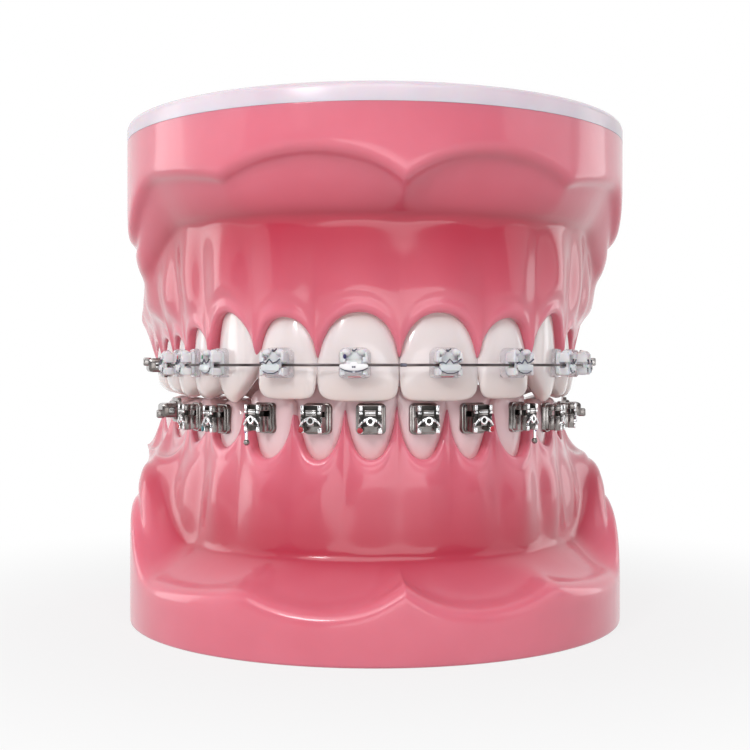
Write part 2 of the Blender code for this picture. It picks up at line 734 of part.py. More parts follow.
def slide_mesh(name, spec, finish):
    """The sliding door: its tongue runs behind the channel's lips, its face shows between them."""
    _, _, door_top, door_bottom = bracket_levels(spec)
    door = extrusion(
        name, door_outline(spec, 0.0), (door_top - door_bottom) / 2,
        centre=(0.0, 0.0, (door_top + door_bottom) / 2),
    )
    if not spec["hole"]:
        return combined(name, door, [], finish)
    bm = bmesh.new()
    middle = (door_top * 0.45 + door_bottom * 0.55)
    cylinder(bm, (0.0, -spec["depth"] - 0.1, middle), spec["hole"], 0.6, "Y", 8)
    return combined(name, door, [("DIFFERENCE", mesh_from(bm, name + "_hole"))], finish)


def bracket_heights():
    """Height of the slot of the clear and the steel brackets, tooth by tooth."""
    edges = [BITE_HEIGHT + tooth[4] for tooth in UPPER_TEETH]
    lowest_side = min(edges[2:])
    steel = []
    for index in range(len(TOOTH_NAMES)):
        ceiling = BITE_HEIGHT if index < 3 else lowest_side
        steel.append(ceiling - BRACKET_BITE_GAP - PAD_MARGIN - STEEL["slot_drop"])
    return [WIRE_HEIGHT] * len(TOOTH_NAMES), steel


def stand_on_tooth(piece, jaw, index, shift, height, side):
    place, heading, _, _ = tooth_frame(jaw, index)
    place = place + Vector((math.cos(heading), math.sin(heading))) * shift
    piece.location = Vector((side * place.x, place.y, height)) * MM
    piece.rotation_euler = (0.0, 0.0, side * heading)


def build_brackets(jaw_name, spec, heights, finish):
    jaw = JAWS[jaw_name]
    plain = bracket_body(jaw_name + "_bracket", spec, finish)
    slide = slide_mesh(jaw_name + "_slide", spec, finish)
    pieces = []
    for side, side_name in ((-1, "left"), (1, "right")):
        for index, tooth_name in enumerate(TOOTH_NAMES):
            shift = BRACKET_SHIFTS[index] if jaw_name == "upper" else 0.0
            name = f"{jaw_name}_{side_name}_{tooth_name}"
            mesh = plain
            if jaw_name == "lower" and tooth_name == "canine":
                mesh = bracket_body(name + "_hooked", spec, finish, hook_side=side)
            body = add_object(name + "_bracket", mesh, finish)
            door = add_object(name + "_slide", slide, finish)
            for piece in (body, door):
                stand_on_tooth(piece, jaw, index, shift, heights[index], side)
                pieces.append(piece)
    return pieces


# Molar tubes: a closed sleeve on a pad, with a short hook towards the gum
def tube_mesh(name, way, side):
    bm = bmesh.new()
    half = TUBE_LENGTH / 2
    rise = TUBE_HEIGHT / 2
    box(bm, (-half - 0.3, -PAD_GAP - PAD_THICKNESS, -rise - 0.1),
        (half + 0.3, -PAD_GAP, rise + 0.1))
    pad = mesh_from(bm, name)
    bm = bmesh.new()
    box(bm, (-half, -TUBE_DEPTH, -rise * 0.62), (half, -PAD_GAP - 0.2, rise * 0.62), 0.3)
    sleeve = mesh_from(bm, name + "_sleeve")
    bm = bmesh.new()
    back = -side * (half - 0.9)
    box(bm, (back - 0.35, -TUBE_DEPTH - 0.45, way * rise * 0.3 - 0.55),
        (back + 0.35, -TUBE_DEPTH + 0.6, way * rise * 0.3 + 0.55))
    hook = mesh_from(bm, name + "_hook")
    bm = bmesh.new()
    bore = WIRE_RADIUS + SLOT_CLEARANCE
    box(bm, (-half - 1.0, -WIRE_OUT - bore, -bore), (half + 1.0, -WIRE_OUT + bore, bore))
    hollow = mesh_from(bm, name + "_bore")
    steps = [("UNION", sleeve), ("UNION", hook), ("DIFFERENCE", hollow)]
    return combined(name, pad, steps, STEEL_GREY)


def build_tubes(jaw_name, height):
    jaw = JAWS[jaw_name]
    pieces = []
    for side, side_name in ((-1, "left"), (1, "right")):
        name = f"{jaw_name}_{side_name}_molar_tube"
        piece = add_object(name, tube_mesh(name, jaw["way"], side), STEEL_GREY)
        stand_on_tooth(piece, jaw, MOLAR, 0.0, height, side)
        pieces.append(piece)
    return pieces


# Archwire: round wire through the upper slots, straight in each slot and bowed between them
def slot_ends(jaw, index):
    """Where the wire enters and leaves a tooth's slot, and its heading there."""
    place, heading, _, _ = tooth_frame(jaw, index)
    along = Vector((math.cos(heading), math.sin(heading)))
    outward = Vector((math.sin(heading), -math.cos(heading)))
    if index == MOLAR:
        middle = place + outward * WIRE_OUT
        return middle - along * TUBE_LENGTH / 2, middle + along * WIRE_END, along
    middle = place + outward * WIRE_OUT + along * BRACKET_SHIFTS[index]
    half = along * CLEAR["width"] / 2
    return middle - half, middle + half, along


def bowed(start, start_way, end, end_way):
    """The middle of a smooth curve between the ends of a span, and its far end."""
    reach = (end - start).length
    points = []
    for share in (0.5, 1.0):
        square, cube = share ** 2, share ** 3
        points.append(
            start * (2 * cube - 3 * square + 1) + start_way * reach * (cube - 2 * square + share)
            + end * (3 * square - 2 * cube) + end_way * reach * (cube - square)
        )
    return points


def build_archwire():
    jaw = JAWS["upper"]
    first, last, way = slot_ends(jaw, 0)
    mirror_start = Vector((-first.x, first.y))
    path = bowed(mirror_start, Vector((way.x, -way.y)), first, way)[1:] + [last]
    for index in (*range(1, MOLAR), MOLAR):
        entry, exit_point, next_way = slot_ends(jaw, index)
        path += bowed(last, way, entry, next_way) + [exit_point]
        last, way = exit_point, next_way
    path = [Vector((-point.x, point.y)) for point in reversed(path)] + path
    curve = bpy.data.curves.new("archwire", "CURVE")
    curve.dimensions = "3D"
    curve.bevel_depth = WIRE_RADIUS * MM
    curve.bevel_resolution = 1
    curve.use_fill_caps = True
    spline = curve.splines.new("POLY")
    spline.points.add(len(path) - 1)
    for point, spot in zip(spline.points, path):
        point.co = (spot.x * MM, spot.y * MM, WIRE_HEIGHT * MM, 1.0)
    holder = bpy.data.objects.new("archwire_path", curve)
    GUIDES.objects.link(holder)
    mesh = from_curve(holder)
    return add_object("archwire", mesh, WIRE_STEEL)


# Hinge: a strap screwed to the back of each base, and a headed pin through their knuckles
HINGE_Y = BACK + HINGE_OUT
HINGE_Z = BITE_HEIGHT + HINGE_RISE


def leaf_middle(jaw_name):
    low = (JAWS[jaw_name]["foot"] + FLOOR_HEIGHT) / 2
    return TOTAL_HEIGHT - low if jaw_name == "upper" else low


def screw_places(jaw_name):
    middle = leaf_middle(jaw_name)
    return [
        Vector((side * SCREW_SPACING / 2, BACK, middle)) for side in (-1, 1)
    ]


def strap_mesh(name, jaw_name, across):
    """One strap of a leaf, from its plate to its knuckle, as a bent flat bar."""
    way = 1.0 if jaw_name == "upper" else -1.0
    start = leaf_middle(jaw_name)
    near = BACK + HINGE_GAP
    far = near + HINGE_PLATE
    knee = HINGE_Z + way * (HINGE_OUT + 1.5)
    reach = HINGE_KNUCKLE * 0.9
    outline = [
        (near, start), (near, knee), (HINGE_Y - 0.5, HINGE_Z + way * reach),
        (HINGE_Y + 0.9, HINGE_Z + way * reach), (far, knee + way * 0.6), (far, start),
    ]
    upright = Matrix(((0, 0, 1, 0), (1, 0, 0, 0), (0, 1, 0, 0), (0, 0, 0, 1)))
    return extrusion(name, outline, (across[1] - across[0]) / 2, turn=upright,
                     centre=((across[0] + across[1]) / 2, 0.0, 0.0))


def build_leaf(jaw_name):
    name = jaw_name + "_hinge_leaf"
    half = HINGE_STRAP / 2
    if jaw_name == "lower":
        straps = [(-half, half)]
    else:
        inside = half + HINGE_GAP
        straps = [(-inside - half, -inside), (inside, inside + half)]
    middle = leaf_middle(jaw_name)
    near = BACK + HINGE_GAP
    bm = bmesh.new()
    box(bm, (-HINGE_PLATE_WIDTH / 2, near, middle - HINGE_PLATE_HEIGHT / 2),
        (HINGE_PLATE_WIDTH / 2, near + HINGE_PLATE, middle + HINGE_PLATE_HEIGHT / 2), 0.25)
    plate = mesh_from(bm, name)
    steps = []
    for across in straps:
        steps.append(("UNION", strap_mesh(name + "_strap", jaw_name, across)))
        bm = bmesh.new()
        centre = ((across[0] + across[1]) / 2, HINGE_Y, HINGE_Z)
        cylinder(bm, centre, HINGE_KNUCKLE, across[1] - across[0], "X", 14)
        steps.append(("UNION", mesh_from(bm, name + "_knuckle")))
    bm = bmesh.new()
    cylinder(bm, (0.0, HINGE_Y, HINGE_Z), PIN_RADIUS + PIN_CLEARANCE, 2.0 * HINGE_PLATE_WIDTH,
             "X", 12)
    steps.append(("DIFFERENCE", mesh_from(bm, name + "_bore")))
    for place in screw_places(jaw_name):
        bm = bmesh.new()
        cylinder(bm, place + Vector((0.0, HINGE_GAP, 0.0)), SCREW_RADIUS + SCREW_CLEARANCE,
                 4.0 * HINGE_PLATE, "Y", 8)
        steps.append(("DIFFERENCE", mesh_from(bm, name + "_screw_hole")))
    return add_object(name, combined(name, plate, steps, HINGE_STEEL), HINGE_STEEL)


def turned(name, profile, finish, sides, turn):
    """A turned piece: a profile of radius and height swept round by a Screw modifier."""
    bm = bmesh.new()
    verts = [bm.verts.new((radius, 0.0, height)) for radius, height in profile]
    for first, second in zip(verts, verts[1:]):
        bm.edges.new((first, second))
    piece = add_object(name, mesh_from(bm, name), finish)
    screw = piece.modifiers.new("turned", "SCREW")
    screw.steps = sides
    screw.render_steps = sides
    screw.use_merge_vertices = True
    screw.merge_threshold = 0.00001
    piece.rotation_euler = turn
    return piece


def build_pin():
    half = HINGE_STRAP + HINGE_GAP + 0.1
    head = PIN_RADIUS + PIN_HEAD
    profile = [
        (0.0, half + 0.8), (head * 0.7, half + 0.8), (head, half + 0.45), (head, half),
        (PIN_RADIUS, half), (PIN_RADIUS, -half), (head * 0.9, -half),
        (head * 0.9, -half - 0.4), (0.0, -half - 0.5),
    ]
    pin = turned("hinge_pin", profile, HINGE_STEEL, 12, (0.0, math.pi / 2, 0.0))
    pin.location = Vector((0.0, HINGE_Y, HINGE_Z)) * MM
    return pin


def build_screws(jaw_name):
    head_height = 1.0
    seat = HINGE_GAP + HINGE_PLATE + SCREW_CLEARANCE
    profile = [
        (0.0, seat + head_height), (SCREW_HEAD * 0.65, seat + head_height),
        (SCREW_HEAD, seat + head_height * 0.5), (SCREW_HEAD, seat), (SCREW_RADIUS, seat),
        (SCREW_RADIUS, 0.9 - SCREW_LENGTH), (0.0, -SCREW_LENGTH + 0.1),
    ]
    screws = []
    for number, place in enumerate(screw_places(jaw_name), start=1):
        screw = turned(f"{jaw_name}_hinge_screw_{number}", profile, HINGE_STEEL, 8,
                       (-math.pi / 2, 0.0, 0.0))
        screw.location = place * MM
        screws.append(screw)
    return screws


# Assembly: the upper jaw hangs from an empty on the hinge's axis
clear_heights, steel_heights = bracket_heights()
upper = [build_gum("upper"), build_plate(), *build_teeth("upper")]
upper += build_brackets("upper", CLEAR, clear_heights, CLEAR_CERAMIC)
upper += build_tubes("upper", WIRE_HEIGHT)
upper += [build_archwire(), build_leaf("upper"), *build_screws("upper")]
build_gum("lower")
build_teeth("lower")
build_brackets("lower", STEEL, steel_heights, STEEL_GREY)
build_tubes("lower", steel_heights[-1])
build_leaf("lower")
build_screws("lower")
build_pin()

jaw_axis = bpy.data.objects.new("jaw_hinge_axis", None)
MODEL.objects.link(jaw_axis)
jaw_axis.location = Vector((0.0, HINGE_Y, HINGE_Z)) * MM
bpy.context.view_layer.update()
for piece in upper:
    piece.parent = jaw_axis
    piece.matrix_parent_inverse = jaw_axis.matrix_world.inverted()
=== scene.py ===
# Orthodontic demonstration model: two pink gum bases with ivory teeth, clear brackets and a round
# archwire above, steel brackets below, and a strap hinge at the back.
import math

import bmesh
import bpy
import numpy as np
from mathutils import Matrix, Vector


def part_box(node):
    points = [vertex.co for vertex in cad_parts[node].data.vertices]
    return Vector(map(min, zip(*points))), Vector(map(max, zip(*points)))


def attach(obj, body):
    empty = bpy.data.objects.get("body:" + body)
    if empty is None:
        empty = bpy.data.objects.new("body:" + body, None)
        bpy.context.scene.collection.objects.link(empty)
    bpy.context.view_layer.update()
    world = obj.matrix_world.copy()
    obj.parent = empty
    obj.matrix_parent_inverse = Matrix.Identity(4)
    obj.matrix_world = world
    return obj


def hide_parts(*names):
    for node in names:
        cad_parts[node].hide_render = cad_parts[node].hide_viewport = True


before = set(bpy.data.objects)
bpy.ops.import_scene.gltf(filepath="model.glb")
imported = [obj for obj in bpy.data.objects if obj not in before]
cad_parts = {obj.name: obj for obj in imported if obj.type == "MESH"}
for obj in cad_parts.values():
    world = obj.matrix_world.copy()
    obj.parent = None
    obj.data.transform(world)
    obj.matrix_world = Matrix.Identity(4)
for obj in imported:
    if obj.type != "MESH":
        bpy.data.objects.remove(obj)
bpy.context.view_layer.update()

# Camera
# A level portrait lens stands a hand's length in front of the teeth, a little to the left of them.
# All sizes from here on are in millimetres and are brought to metres by MM.
MM = 0.001
camera_data = bpy.data.cameras.new("camera")
camera_data.lens = 60.0
camera_data.sensor_width = 36.0
camera_data.shift_y = -0.012
camera_data.clip_start = 0.01
camera = bpy.data.objects.new("camera", camera_data)
bpy.context.scene.collection.objects.link(camera)
camera.location = Vector((-16.1, -153.2, 30.2)) * MM
camera.rotation_euler = (math.pi / 2, 0.0, -math.radians(6.0))
bpy.context.scene.camera = camera
bpy.context.scene.view_settings.view_transform = "Standard"

# Gum bases
# Each base is one casting of glossy, slightly clouded pink resin. A flat base with a round front
# carries a shelf with lobes between the frena, and a ridge with a bulge over each root and a
# rolled margin round each tooth.
UPPER_RADIUS, BACK, _ = Vector(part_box("upper_gum")[1]) / MM
LOWER_RADIUS = Vector(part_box("lower_gum")[1]).x / MM
PLATE_FOOT = Vector(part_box("upper_plate")[0]).z / MM
HEIGHT = Vector(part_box("upper_plate")[1]).z / MM
BITE = 26.5
FLOOR_HEIGHT = 8.6

# Teeth from the midline back: form, width, crown, depth, edge above the bite plane, how pointed the
# gum's scallop is, and the bulge over the root
UPPER_TEETH = (
    ("incisor", 8.8, 9.3, 6.6, 0.0, 2.4, 0.3),
    ("incisor", 7.1, 8.6, 6.0, 0.2, 2.1, 0.35),
    ("canine", 8.0, 9.9, 7.6, -0.3, 2.2, 0.75),
    ("premolar", 6.7, 8.1, 8.4, -0.2, 2.1, 0.6),
    ("premolar", 6.5, 7.4, 8.6, -0.2, 2.1, 0.6),
    ("molar", 10.0, 7.2, 10.4, -0.1, 2.3, 0.6),
    ("molar", 9.4, 6.8, 10.4, 0.0, 2.3, 0.5),
)
LOWER_TEETH = (
    ("incisor", 5.6, 7.9, 5.6, 1.7, 2.5, 0.15),
    ("incisor", 5.7, 8.0, 5.8, 1.7, 2.5, 0.2),
    ("canine", 6.8, 7.9, 7.2, 1.6, 2.5, 0.5),
    ("premolar", 6.9, 5.6, 7.8, 0.2, 1.8, 0.6),
    ("premolar", 7.0, 5.3, 8.2, 0.2, 1.8, 0.6),
    ("molar", 10.8, 5.0, 10.0, 0.0, 2.2, 0.6),
    ("molar", 10.0, 4.9, 10.0, 0.0, 2.2, 0.5),
)
# The two jaws. Rises are measured from the flat face of the base, down where way is 1 and up where it
# is -1, and widths from the line of the teeth's outer faces. Front, half_width, depth and bow draw
# that line; the rim keys give the rim of the base and the fold keys the foot of the wall; wall,
# hollow and flare move that foot in or out; dish sinks the shelf, and ledge is its least width;
# papilla is the share of the crown left bare between two teeth; canine_cusp, corner, brim and neck
# shape the front teeth. Turns, and the angle of the side frenum, are degrees round from the front.
JAWS = {
    "upper": {
        "teeth": UPPER_TEETH, "way": 1.0, "base": HEIGHT, "radius": UPPER_RADIUS,
        "front": -25.0, "half_width": 28.0, "depth": 42.3, "bow": 0.31,
        "rim_frenum": 9.2, "rim_lobe": 2.4, "rim_side": 13.8, "fold": 12.3, "fold_side": 17.0,
        "frenum_angle": 39.0, "wall": 1.4, "hollow": 0.8, "dish": 0.7, "chamfer": 0.05,
        "canine_cusp": 1.9, "corner": 0.3, "brim": 0.0, "neck": 0.0, "foot": HEIGHT - PLATE_FOOT + 0.01,
        "side_turns": (62.0, 90.0), "flare": 1.4, "flare_turns": (76.0, 90.0), "ledge": 1.7,
        "papilla": 0.4,
    },
    "lower": {
        "teeth": LOWER_TEETH, "way": -1.0, "base": 0.0, "radius": LOWER_RADIUS,
        "front": -22.6, "half_width": 27.0, "depth": 39.8, "bow": 0.41,
        "rim_frenum": 7.2, "rim_lobe": 2.0, "rim_side": 14.2, "fold": 9.3, "fold_side": 17.5,
        "frenum_angle": 34.0, "wall": 1.5, "hollow": 0.5, "dish": 0.9, "chamfer": 0.3,
        "canine_cusp": 0.7, "corner": 0.15, "brim": 0.25, "neck": -0.14, "foot": 0.0,
        "side_turns": (66.0, 92.0), "flare": 2.6, "flare_turns": (64.0, 92.0), "ledge": 1.6,
        "papilla": 0.12,
    },
}


ARCH_POINTS = 3000
ARCH_SPARE = 1.06
HEADING_SPAN = 0.4
FRONT_BEND = 0.033


def measure_arch(jaw):
    """The bowed line of the teeth's outer faces, as length along it, across and back."""
    across = np.linspace(0.0, jaw["half_width"] * ARCH_SPARE, ARCH_POINTS)
    share = across / jaw["half_width"]
    bow = jaw["bow"]
    back = jaw["front"] + jaw["depth"] * (bow * share ** 2 + (1.0 - bow) * share ** 6)
    along = np.concatenate([[0.0], np.cumsum(np.hypot(np.diff(across), np.diff(back)))])
    return along, across, back


def arch_point(jaw, length, out=0.0):
    """A point of the right half at this length from the midline, its heading and its bend."""
    along, across, back = jaw["arch"]
    near, here, far = (
        Vector((np.interp(spot, along, across), np.interp(spot, along, back)))
        for spot in (max(length - HEADING_SPAN, 0.0), length, length + HEADING_SPAN)
    )
    first = here - near if length > HEADING_SPAN else far - here
    second = far - here
    heading = math.atan2((first + second).y, (first + second).x) if length > 0.0 else 0.0
    bend = abs(second.angle_signed(first)) / HEADING_SPAN if length > HEADING_SPAN else FRONT_BEND
    return here + Vector((math.sin(heading), -math.cos(heading))) * out, heading, bend


for jaw in JAWS.values():
    jaw["arch"] = measure_arch(jaw)
    widths = [tooth[1] for tooth in jaw["teeth"]]
    jaw["starts"] = [sum(widths[:count]) for count in range(len(widths) + 1)]

# Each section of a base stands on a line from a centre, which moves back with it, to the wall
FAN_FRONT = -6.0
FAN_POWER = 1.6
STATION_STEPS = 4
LOBE_FULLNESS = 0.7
SIDE_LOBE_HEIGHT = 0.6
SIDE_LOBE_WIDTH = 1.4
FRENUM_RISE = 0.7
FRENUM_TURN = 5.0
SHELF_DIP = 0.15
SIDE_WALL = 0.7
HOLLOW_TURNS = (40.0, 70.0)
DEEP_HOLLOW_TURNS = (0.0, 25.0)
# How much less of the painted fold shade there is at the sides
SIDE_PAINTED_SHADE_LOSS = 0.45


def ease(low, high, value):
    """A soft step from 0 at the low value to 1 at the high one."""
    share = min(1.0, max(0.0, (value - low) / (high - low)))
    return share * share * (3.0 - 2.0 * share)


def reach_wall(centre, through, radius):
    """Direction and distance from the fan's centre, through the arch, to the base's wall."""
    way = (through - centre).normalized()
    if way.x > 1e-6:
        distance = (radius - centre.x) / way.x
        if centre.y + way.y * distance >= 0.0:
            return way, distance
    along = centre.dot(way)
    return way, -along + math.sqrt(along * along - centre.length_squared + radius ** 2)


def lobe(angle, frenum):
    """Bulge of the rim between the frena: 0 at a frenum, 1 in the middle of a front lobe."""
    reach = abs(angle)
    if reach < frenum:
        return math.sin(math.pi * reach / frenum) ** LOBE_FULLNESS
    past = min(1.0, (reach - frenum) / (SIDE_LOBE_WIDTH * frenum))
    return SIDE_LOBE_HEIGHT * math.sin(math.pi * past) ** LOBE_FULLNESS


# Painted shade along a section: a deeper pink painted in full in the fold, where shade falls, and none
# on the margin and on the wall
FOLD_PAINTED_SHADE = (0.0,) * 12 + (0.15, 0.4, 0.65, 0.9, 1.0, 0.9, 0.6, 0.3, 0.15, 0.08, 0.04) + (0.0,) * 8


def gum_section(jaw, length, index, share):
    """Points of one section: floor, inner wall, margin, outer wall, shelf, base wall, underside.
    The fourth value of a point is its painted shade, a deeper pink for the fold."""
    teeth = jaw["teeth"]
    place = arch_point(jaw, length)[0]
    end_length = float(np.interp(BACK, jaw["arch"][2], jaw["arch"][0]))
    centre = Vector((0.0, FAN_FRONT + (BACK - FAN_FRONT) * (length / end_length) ** FAN_POWER))
    way, reach = reach_wall(centre, place, jaw["radius"])
    inner = -(place - centre).length
    outer = reach + inner
    neighbour = min(len(teeth) - 1, max(0, index + (1 if share > 0.5 else -1)))
    mix = abs(share - 0.5)
    crown, depth, edge, point, root = (
        teeth[index][item] * (1.0 - mix) + teeth[neighbour][item] * mix for item in (2, 3, 4, 5, 6)
    )
    aside = min(1.0, 2.0 * mix)
    scallop = 1.0 - (1.0 - aside ** point) ** 0.5
    tuck = aside ** 2.5
    valley = 0.5 - 0.5 * math.cos(math.pi * aside)
    margin = abs(jaw["base"] - BITE) - jaw["way"] * edge - crown
    peak = margin + crown * (1.0 - jaw["papilla"]) * scallop
    turn = math.degrees(math.atan2(reach * way.x, -(centre.y + reach * way.y)))
    side = ease(*jaw["side_turns"], turn)
    rim = jaw["rim_frenum"] - jaw["rim_lobe"] * lobe(turn, jaw["frenum_angle"])
    rim = rim * (1.0 - side) + jaw["rim_side"] * side
    rim += FRENUM_RISE * math.exp(-(turn / FRENUM_TURN) ** 2)
    fold = jaw["fold"] * (1.0 - side) + jaw["fold_side"] * side
    dish = SHELF_DIP + jaw["dish"] * lobe(turn, jaw["frenum_angle"]) * (1.0 - side)
    bulge = root * (1.0 - valley)
    ridge = min(jaw["wall"] + SIDE_WALL * side, outer * 0.6)
    flare = jaw["flare"] * ease(*jaw["flare_turns"], turn)
    flare = max(0.0, min(flare, outer - ridge - jaw["ledge"]))
    hollow = jaw["hollow"] * (1.0 - ease(*HOLLOW_TURNS, turn))
    hollow *= 1.6 - 0.6 * ease(*DEEP_HOLLOW_TURNS, turn)
    ridge = ridge + flare - hollow
    shelf = outer - ridge
    edge_round = min(1.0, shelf / 2.0)
    chamfer, foot = jaw["chamfer"], jaw["foot"]

    def wall(part):
        """Rise on the outer wall, from the fold at 0 to the margin at 1."""
        return margin * part + fold * (1.0 - part)

    points = [
        (inner, FLOOR_HEIGHT),
        (-depth - 5.0, FLOOR_HEIGHT + 0.4),
        (-depth - 2.9, FLOOR_HEIGHT + 1.7),
        (-depth - 1.9, FLOOR_HEIGHT + 4.2),
        (-depth - 1.2, margin - 3.6),
        (-depth - 0.9, margin - 1.4),
        # Over the margin, round the neck of the tooth
        (-depth - 0.3 + 0.9 * tuck, margin + 0.1 + 0.35 * (peak - margin)),
        (-depth / 2, margin + 0.6 * (peak - margin)),
        (-0.5 - 1.4 * tuck, peak - 0.1),
        (0.3 - 1.05 * tuck - 0.2 * side, peak),
        (0.62 - 1.0 * tuck - 0.25 * side, peak - 0.35),
        (0.74 - 0.85 * tuck - 0.25 * side, peak - 1.0),
        # Down the wall, over the root, to the fold
        (0.7 - 0.5 * valley - 0.2 * side, peak - 1.7),
        (0.72 + bulge * 0.8 - 0.25 * valley + 0.4 * side, min(peak - 2.6, wall(0.8))),
        ((ridge - flare) * 0.7 + bulge * 1.25 + 0.2 * flare + 0.3 * side, wall(0.55)),
        ((ridge - flare) * 0.9 + bulge * 0.7 + 0.5 * flare, wall(0.27)),
        (ridge - 0.2 * flare + bulge * 0.2, fold + 1.0),
        # Out over the shelf and its rim, and along the wall of the base
        (ridge + min(0.4, shelf * 0.15), fold + 0.4),
        (ridge + min(1.2, shelf * 0.3), fold - 0.25),
        (ridge + shelf * 0.55, (rim + fold) / 2 - dish),
        (outer - 1.4 * edge_round, rim + 0.5),
        (outer - 0.7 * edge_round, rim + 0.2),
        (outer - 0.16, rim - 0.35),
        (outer, rim - 1.2),
        (outer, (rim + foot) / 2),
        (outer, foot + chamfer * 1.5),
        (outer - chamfer * 0.06, foot + chamfer * 0.55),
        (outer - chamfer * 0.55, foot + chamfer * 0.06),
        (outer - chamfer * 1.5, foot),
        (outer - chamfer * 4.0, foot),
        (inner, foot),
    ]
    solid = []
    for (out, rise), painted_shade in zip(points, FOLD_PAINTED_SHADE):
        spot = centre if out <= inner else place + way * out
        height = jaw["base"] - jaw["way"] * rise
        solid.append(Vector((max(spot.x, 0.0), spot.y, height, painted_shade * (1.0 - SIDE_PAINTED_SHADE_LOSS * side))))
    return solid


def gum_sections(jaw):
    """Sections along the right half, closer together towards each contact of two teeth."""
    rows = [gum_section(jaw, 0.0, 0, 0.0)]
    for index, tooth in enumerate(jaw["teeth"]):
        for step in range(1 - STATION_STEPS, STATION_STEPS + 1):
            aside = math.sin(math.pi / 2 * step / STATION_STEPS)
            share = 0.5 + 0.5 * aside
            rows.append(gum_section(jaw, jaw["starts"][index] + tooth[1] * share, index, share))
    end_length = float(np.interp(BACK, jaw["arch"][2], jaw["arch"][0]))
    rows.append(gum_section(jaw, end_length, len(jaw["teeth"]) - 1, 0.5))
    return rows


def lay_grid(rows):
    """A grid of faces with its points moved to the rows of a shape."""
    bm = bmesh.new()
    across, down = len(rows) - 1, len(rows[0]) - 1
    bmesh.ops.create_grid(bm, x_segments=across, y_segments=down, size=0.5)
    # Each point also carries its painted fold shade
    painted_shade = bm.verts.layers.float.new("fold_painted_shade")
    for vert in bm.verts:
        row = round((vert.co.x + 0.5) * across)
        column = round((vert.co.y + 0.5) * down)
        vert[painted_shade] = rows[row][column][3]
        vert.co = rows[row][column][:3]
    return bm


def finish_piece(bm, name, body, finishes, replaced, smooth_angle=None, rounds=0):
    """Makes a bmesh in millimetres a piece that rides on its body."""
    bmesh.ops.scale(bm, vec=(MM, MM, MM), verts=bm.verts)
    mesh = bpy.data.meshes.new(name)
    bm.to_mesh(mesh)
    bm.free()
    mesh.shade_smooth()
    if smooth_angle:
        mesh.set_sharp_from_angle(angle=math.radians(smooth_angle))
    piece = bpy.data.objects.new(name, mesh)
    bpy.context.scene.collection.objects.link(piece)
    for finish in finishes:
        mesh.materials.append(finish)
    if rounds:
        rounding = piece.modifiers.new("rounding", "SUBSURF")
        rounding.levels = rounds
        rounding.render_levels = rounds
    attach(piece, body)
    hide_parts(*replaced)


def new_finish(name, colour, roughness, **sockets):
    """A Principled material with plain values on its sockets."""
    made = bpy.data.materials.new(name)
    made.use_nodes = True
    shader = made.node_tree.nodes["Principled BSDF"]
    shader.inputs["Base Color"].default_value = (*colour, 1.0)
    shader.inputs["Roughness"].default_value = roughness
    for socket, value in sockets.items():
        shader.inputs[socket.replace("_", " ")].default_value = value
    made.diffuse_color = (*colour, 1.0)
    return made


def cloud_colour(finish, dark, light, scale):
    """Soft clouds between two shades, on the object's own coordinates."""
    nodes, links = finish.node_tree.nodes, finish.node_tree.links
    place = nodes.new("ShaderNodeTexCoord")
    cloud = nodes.new("ShaderNodeTexNoise")
    cloud.inputs["Scale"].default_value = scale
    cloud.inputs["Detail"].default_value = 3.0
    ramp = nodes.new("ShaderNodeValToRGB")
    ramp.color_ramp.elements[0].position = 0.35
    ramp.color_ramp.elements[0].color = (*dark, 1.0)
    ramp.color_ramp.elements[1].position = 0.65
    ramp.color_ramp.elements[1].color = (*light, 1.0)
    links.new(place.outputs["Object"], cloud.inputs["Vector"])
    links.new(cloud.outputs["Fac"], ramp.inputs["Fac"])
    links.new(ramp.outputs["Color"], nodes["Principled BSDF"].inputs["Base Color"])
    return ramp


def fine_bumps(finish, scale, depth, strength=0.3, detail=4.0):
    """Fine unevenness of the surface, with its depth in millimetres."""
    nodes, links = finish.node_tree.nodes, finish.node_tree.links
    place = nodes.new("ShaderNodeTexCoord")
    grain = nodes.new("ShaderNodeTexNoise")
    grain.inputs["Scale"].default_value = scale
    grain.inputs["Detail"].default_value = detail
    bump = nodes.new("ShaderNodeBump")
    bump.inputs["Strength"].default_value = strength
    bump.inputs["Distance"].default_value = depth * MM
    links.new(place.outputs["Object"], grain.inputs["Vector"])
    links.new(grain.outputs["Fac"], bump.inputs["Height"])
    links.new(bump.outputs["Normal"], nodes["Principled BSDF"].inputs["Normal"])


def mix_shades(tree, share, first, second):
    """A blend of two shades, each of them a colour or a socket that gives one."""
    mix = tree.nodes.new("ShaderNodeMix")
    mix.data_type = "RGBA"
    tree.links.new(share, mix.inputs[0])
    for number, shade in ((6, first), (7, second)):
        if isinstance(shade, tuple):
            mix.inputs[number].default_value = (*shade, 1.0)
        else:
            tree.links.new(shade, mix.inputs[number])
    return mix.outputs[2]


gum_finish = new_finish(
    "gum_resin", (0.8, 0.19, 0.26), 0.3, Subsurface_Weight=0.3, Subsurface_Scale=0.003,
    Subsurface_Radius=(1.0, 0.35, 0.3), IOR=1.5, Specular_IOR_Level=0.3, Coat_Weight=0.7,
    Coat_Roughness=0.1,
)
pink = cloud_colour(gum_finish, (0.77, 0.17, 0.235), (0.82, 0.195, 0.265), 90.0)
gum_tree = gum_finish.node_tree
# A deeper pink is painted into the folds as shade
fold_painted_shade = gum_tree.nodes.new("ShaderNodeAttribute")
fold_painted_shade.attribute_name = "fold_painted_shade"
fold_shade_colour = (0.52, 0.03, 0.065)
pink_with_fold_shade = mix_shades(gum_tree, fold_painted_shade.outputs["Fac"], pink.outputs["Color"], fold_shade_colour)
gum_tree.links.new(pink_with_fold_shade, gum_tree.nodes["Principled BSDF"].inputs["Base Color"])
fine_bumps(gum_finish, 700.0, 0.05)


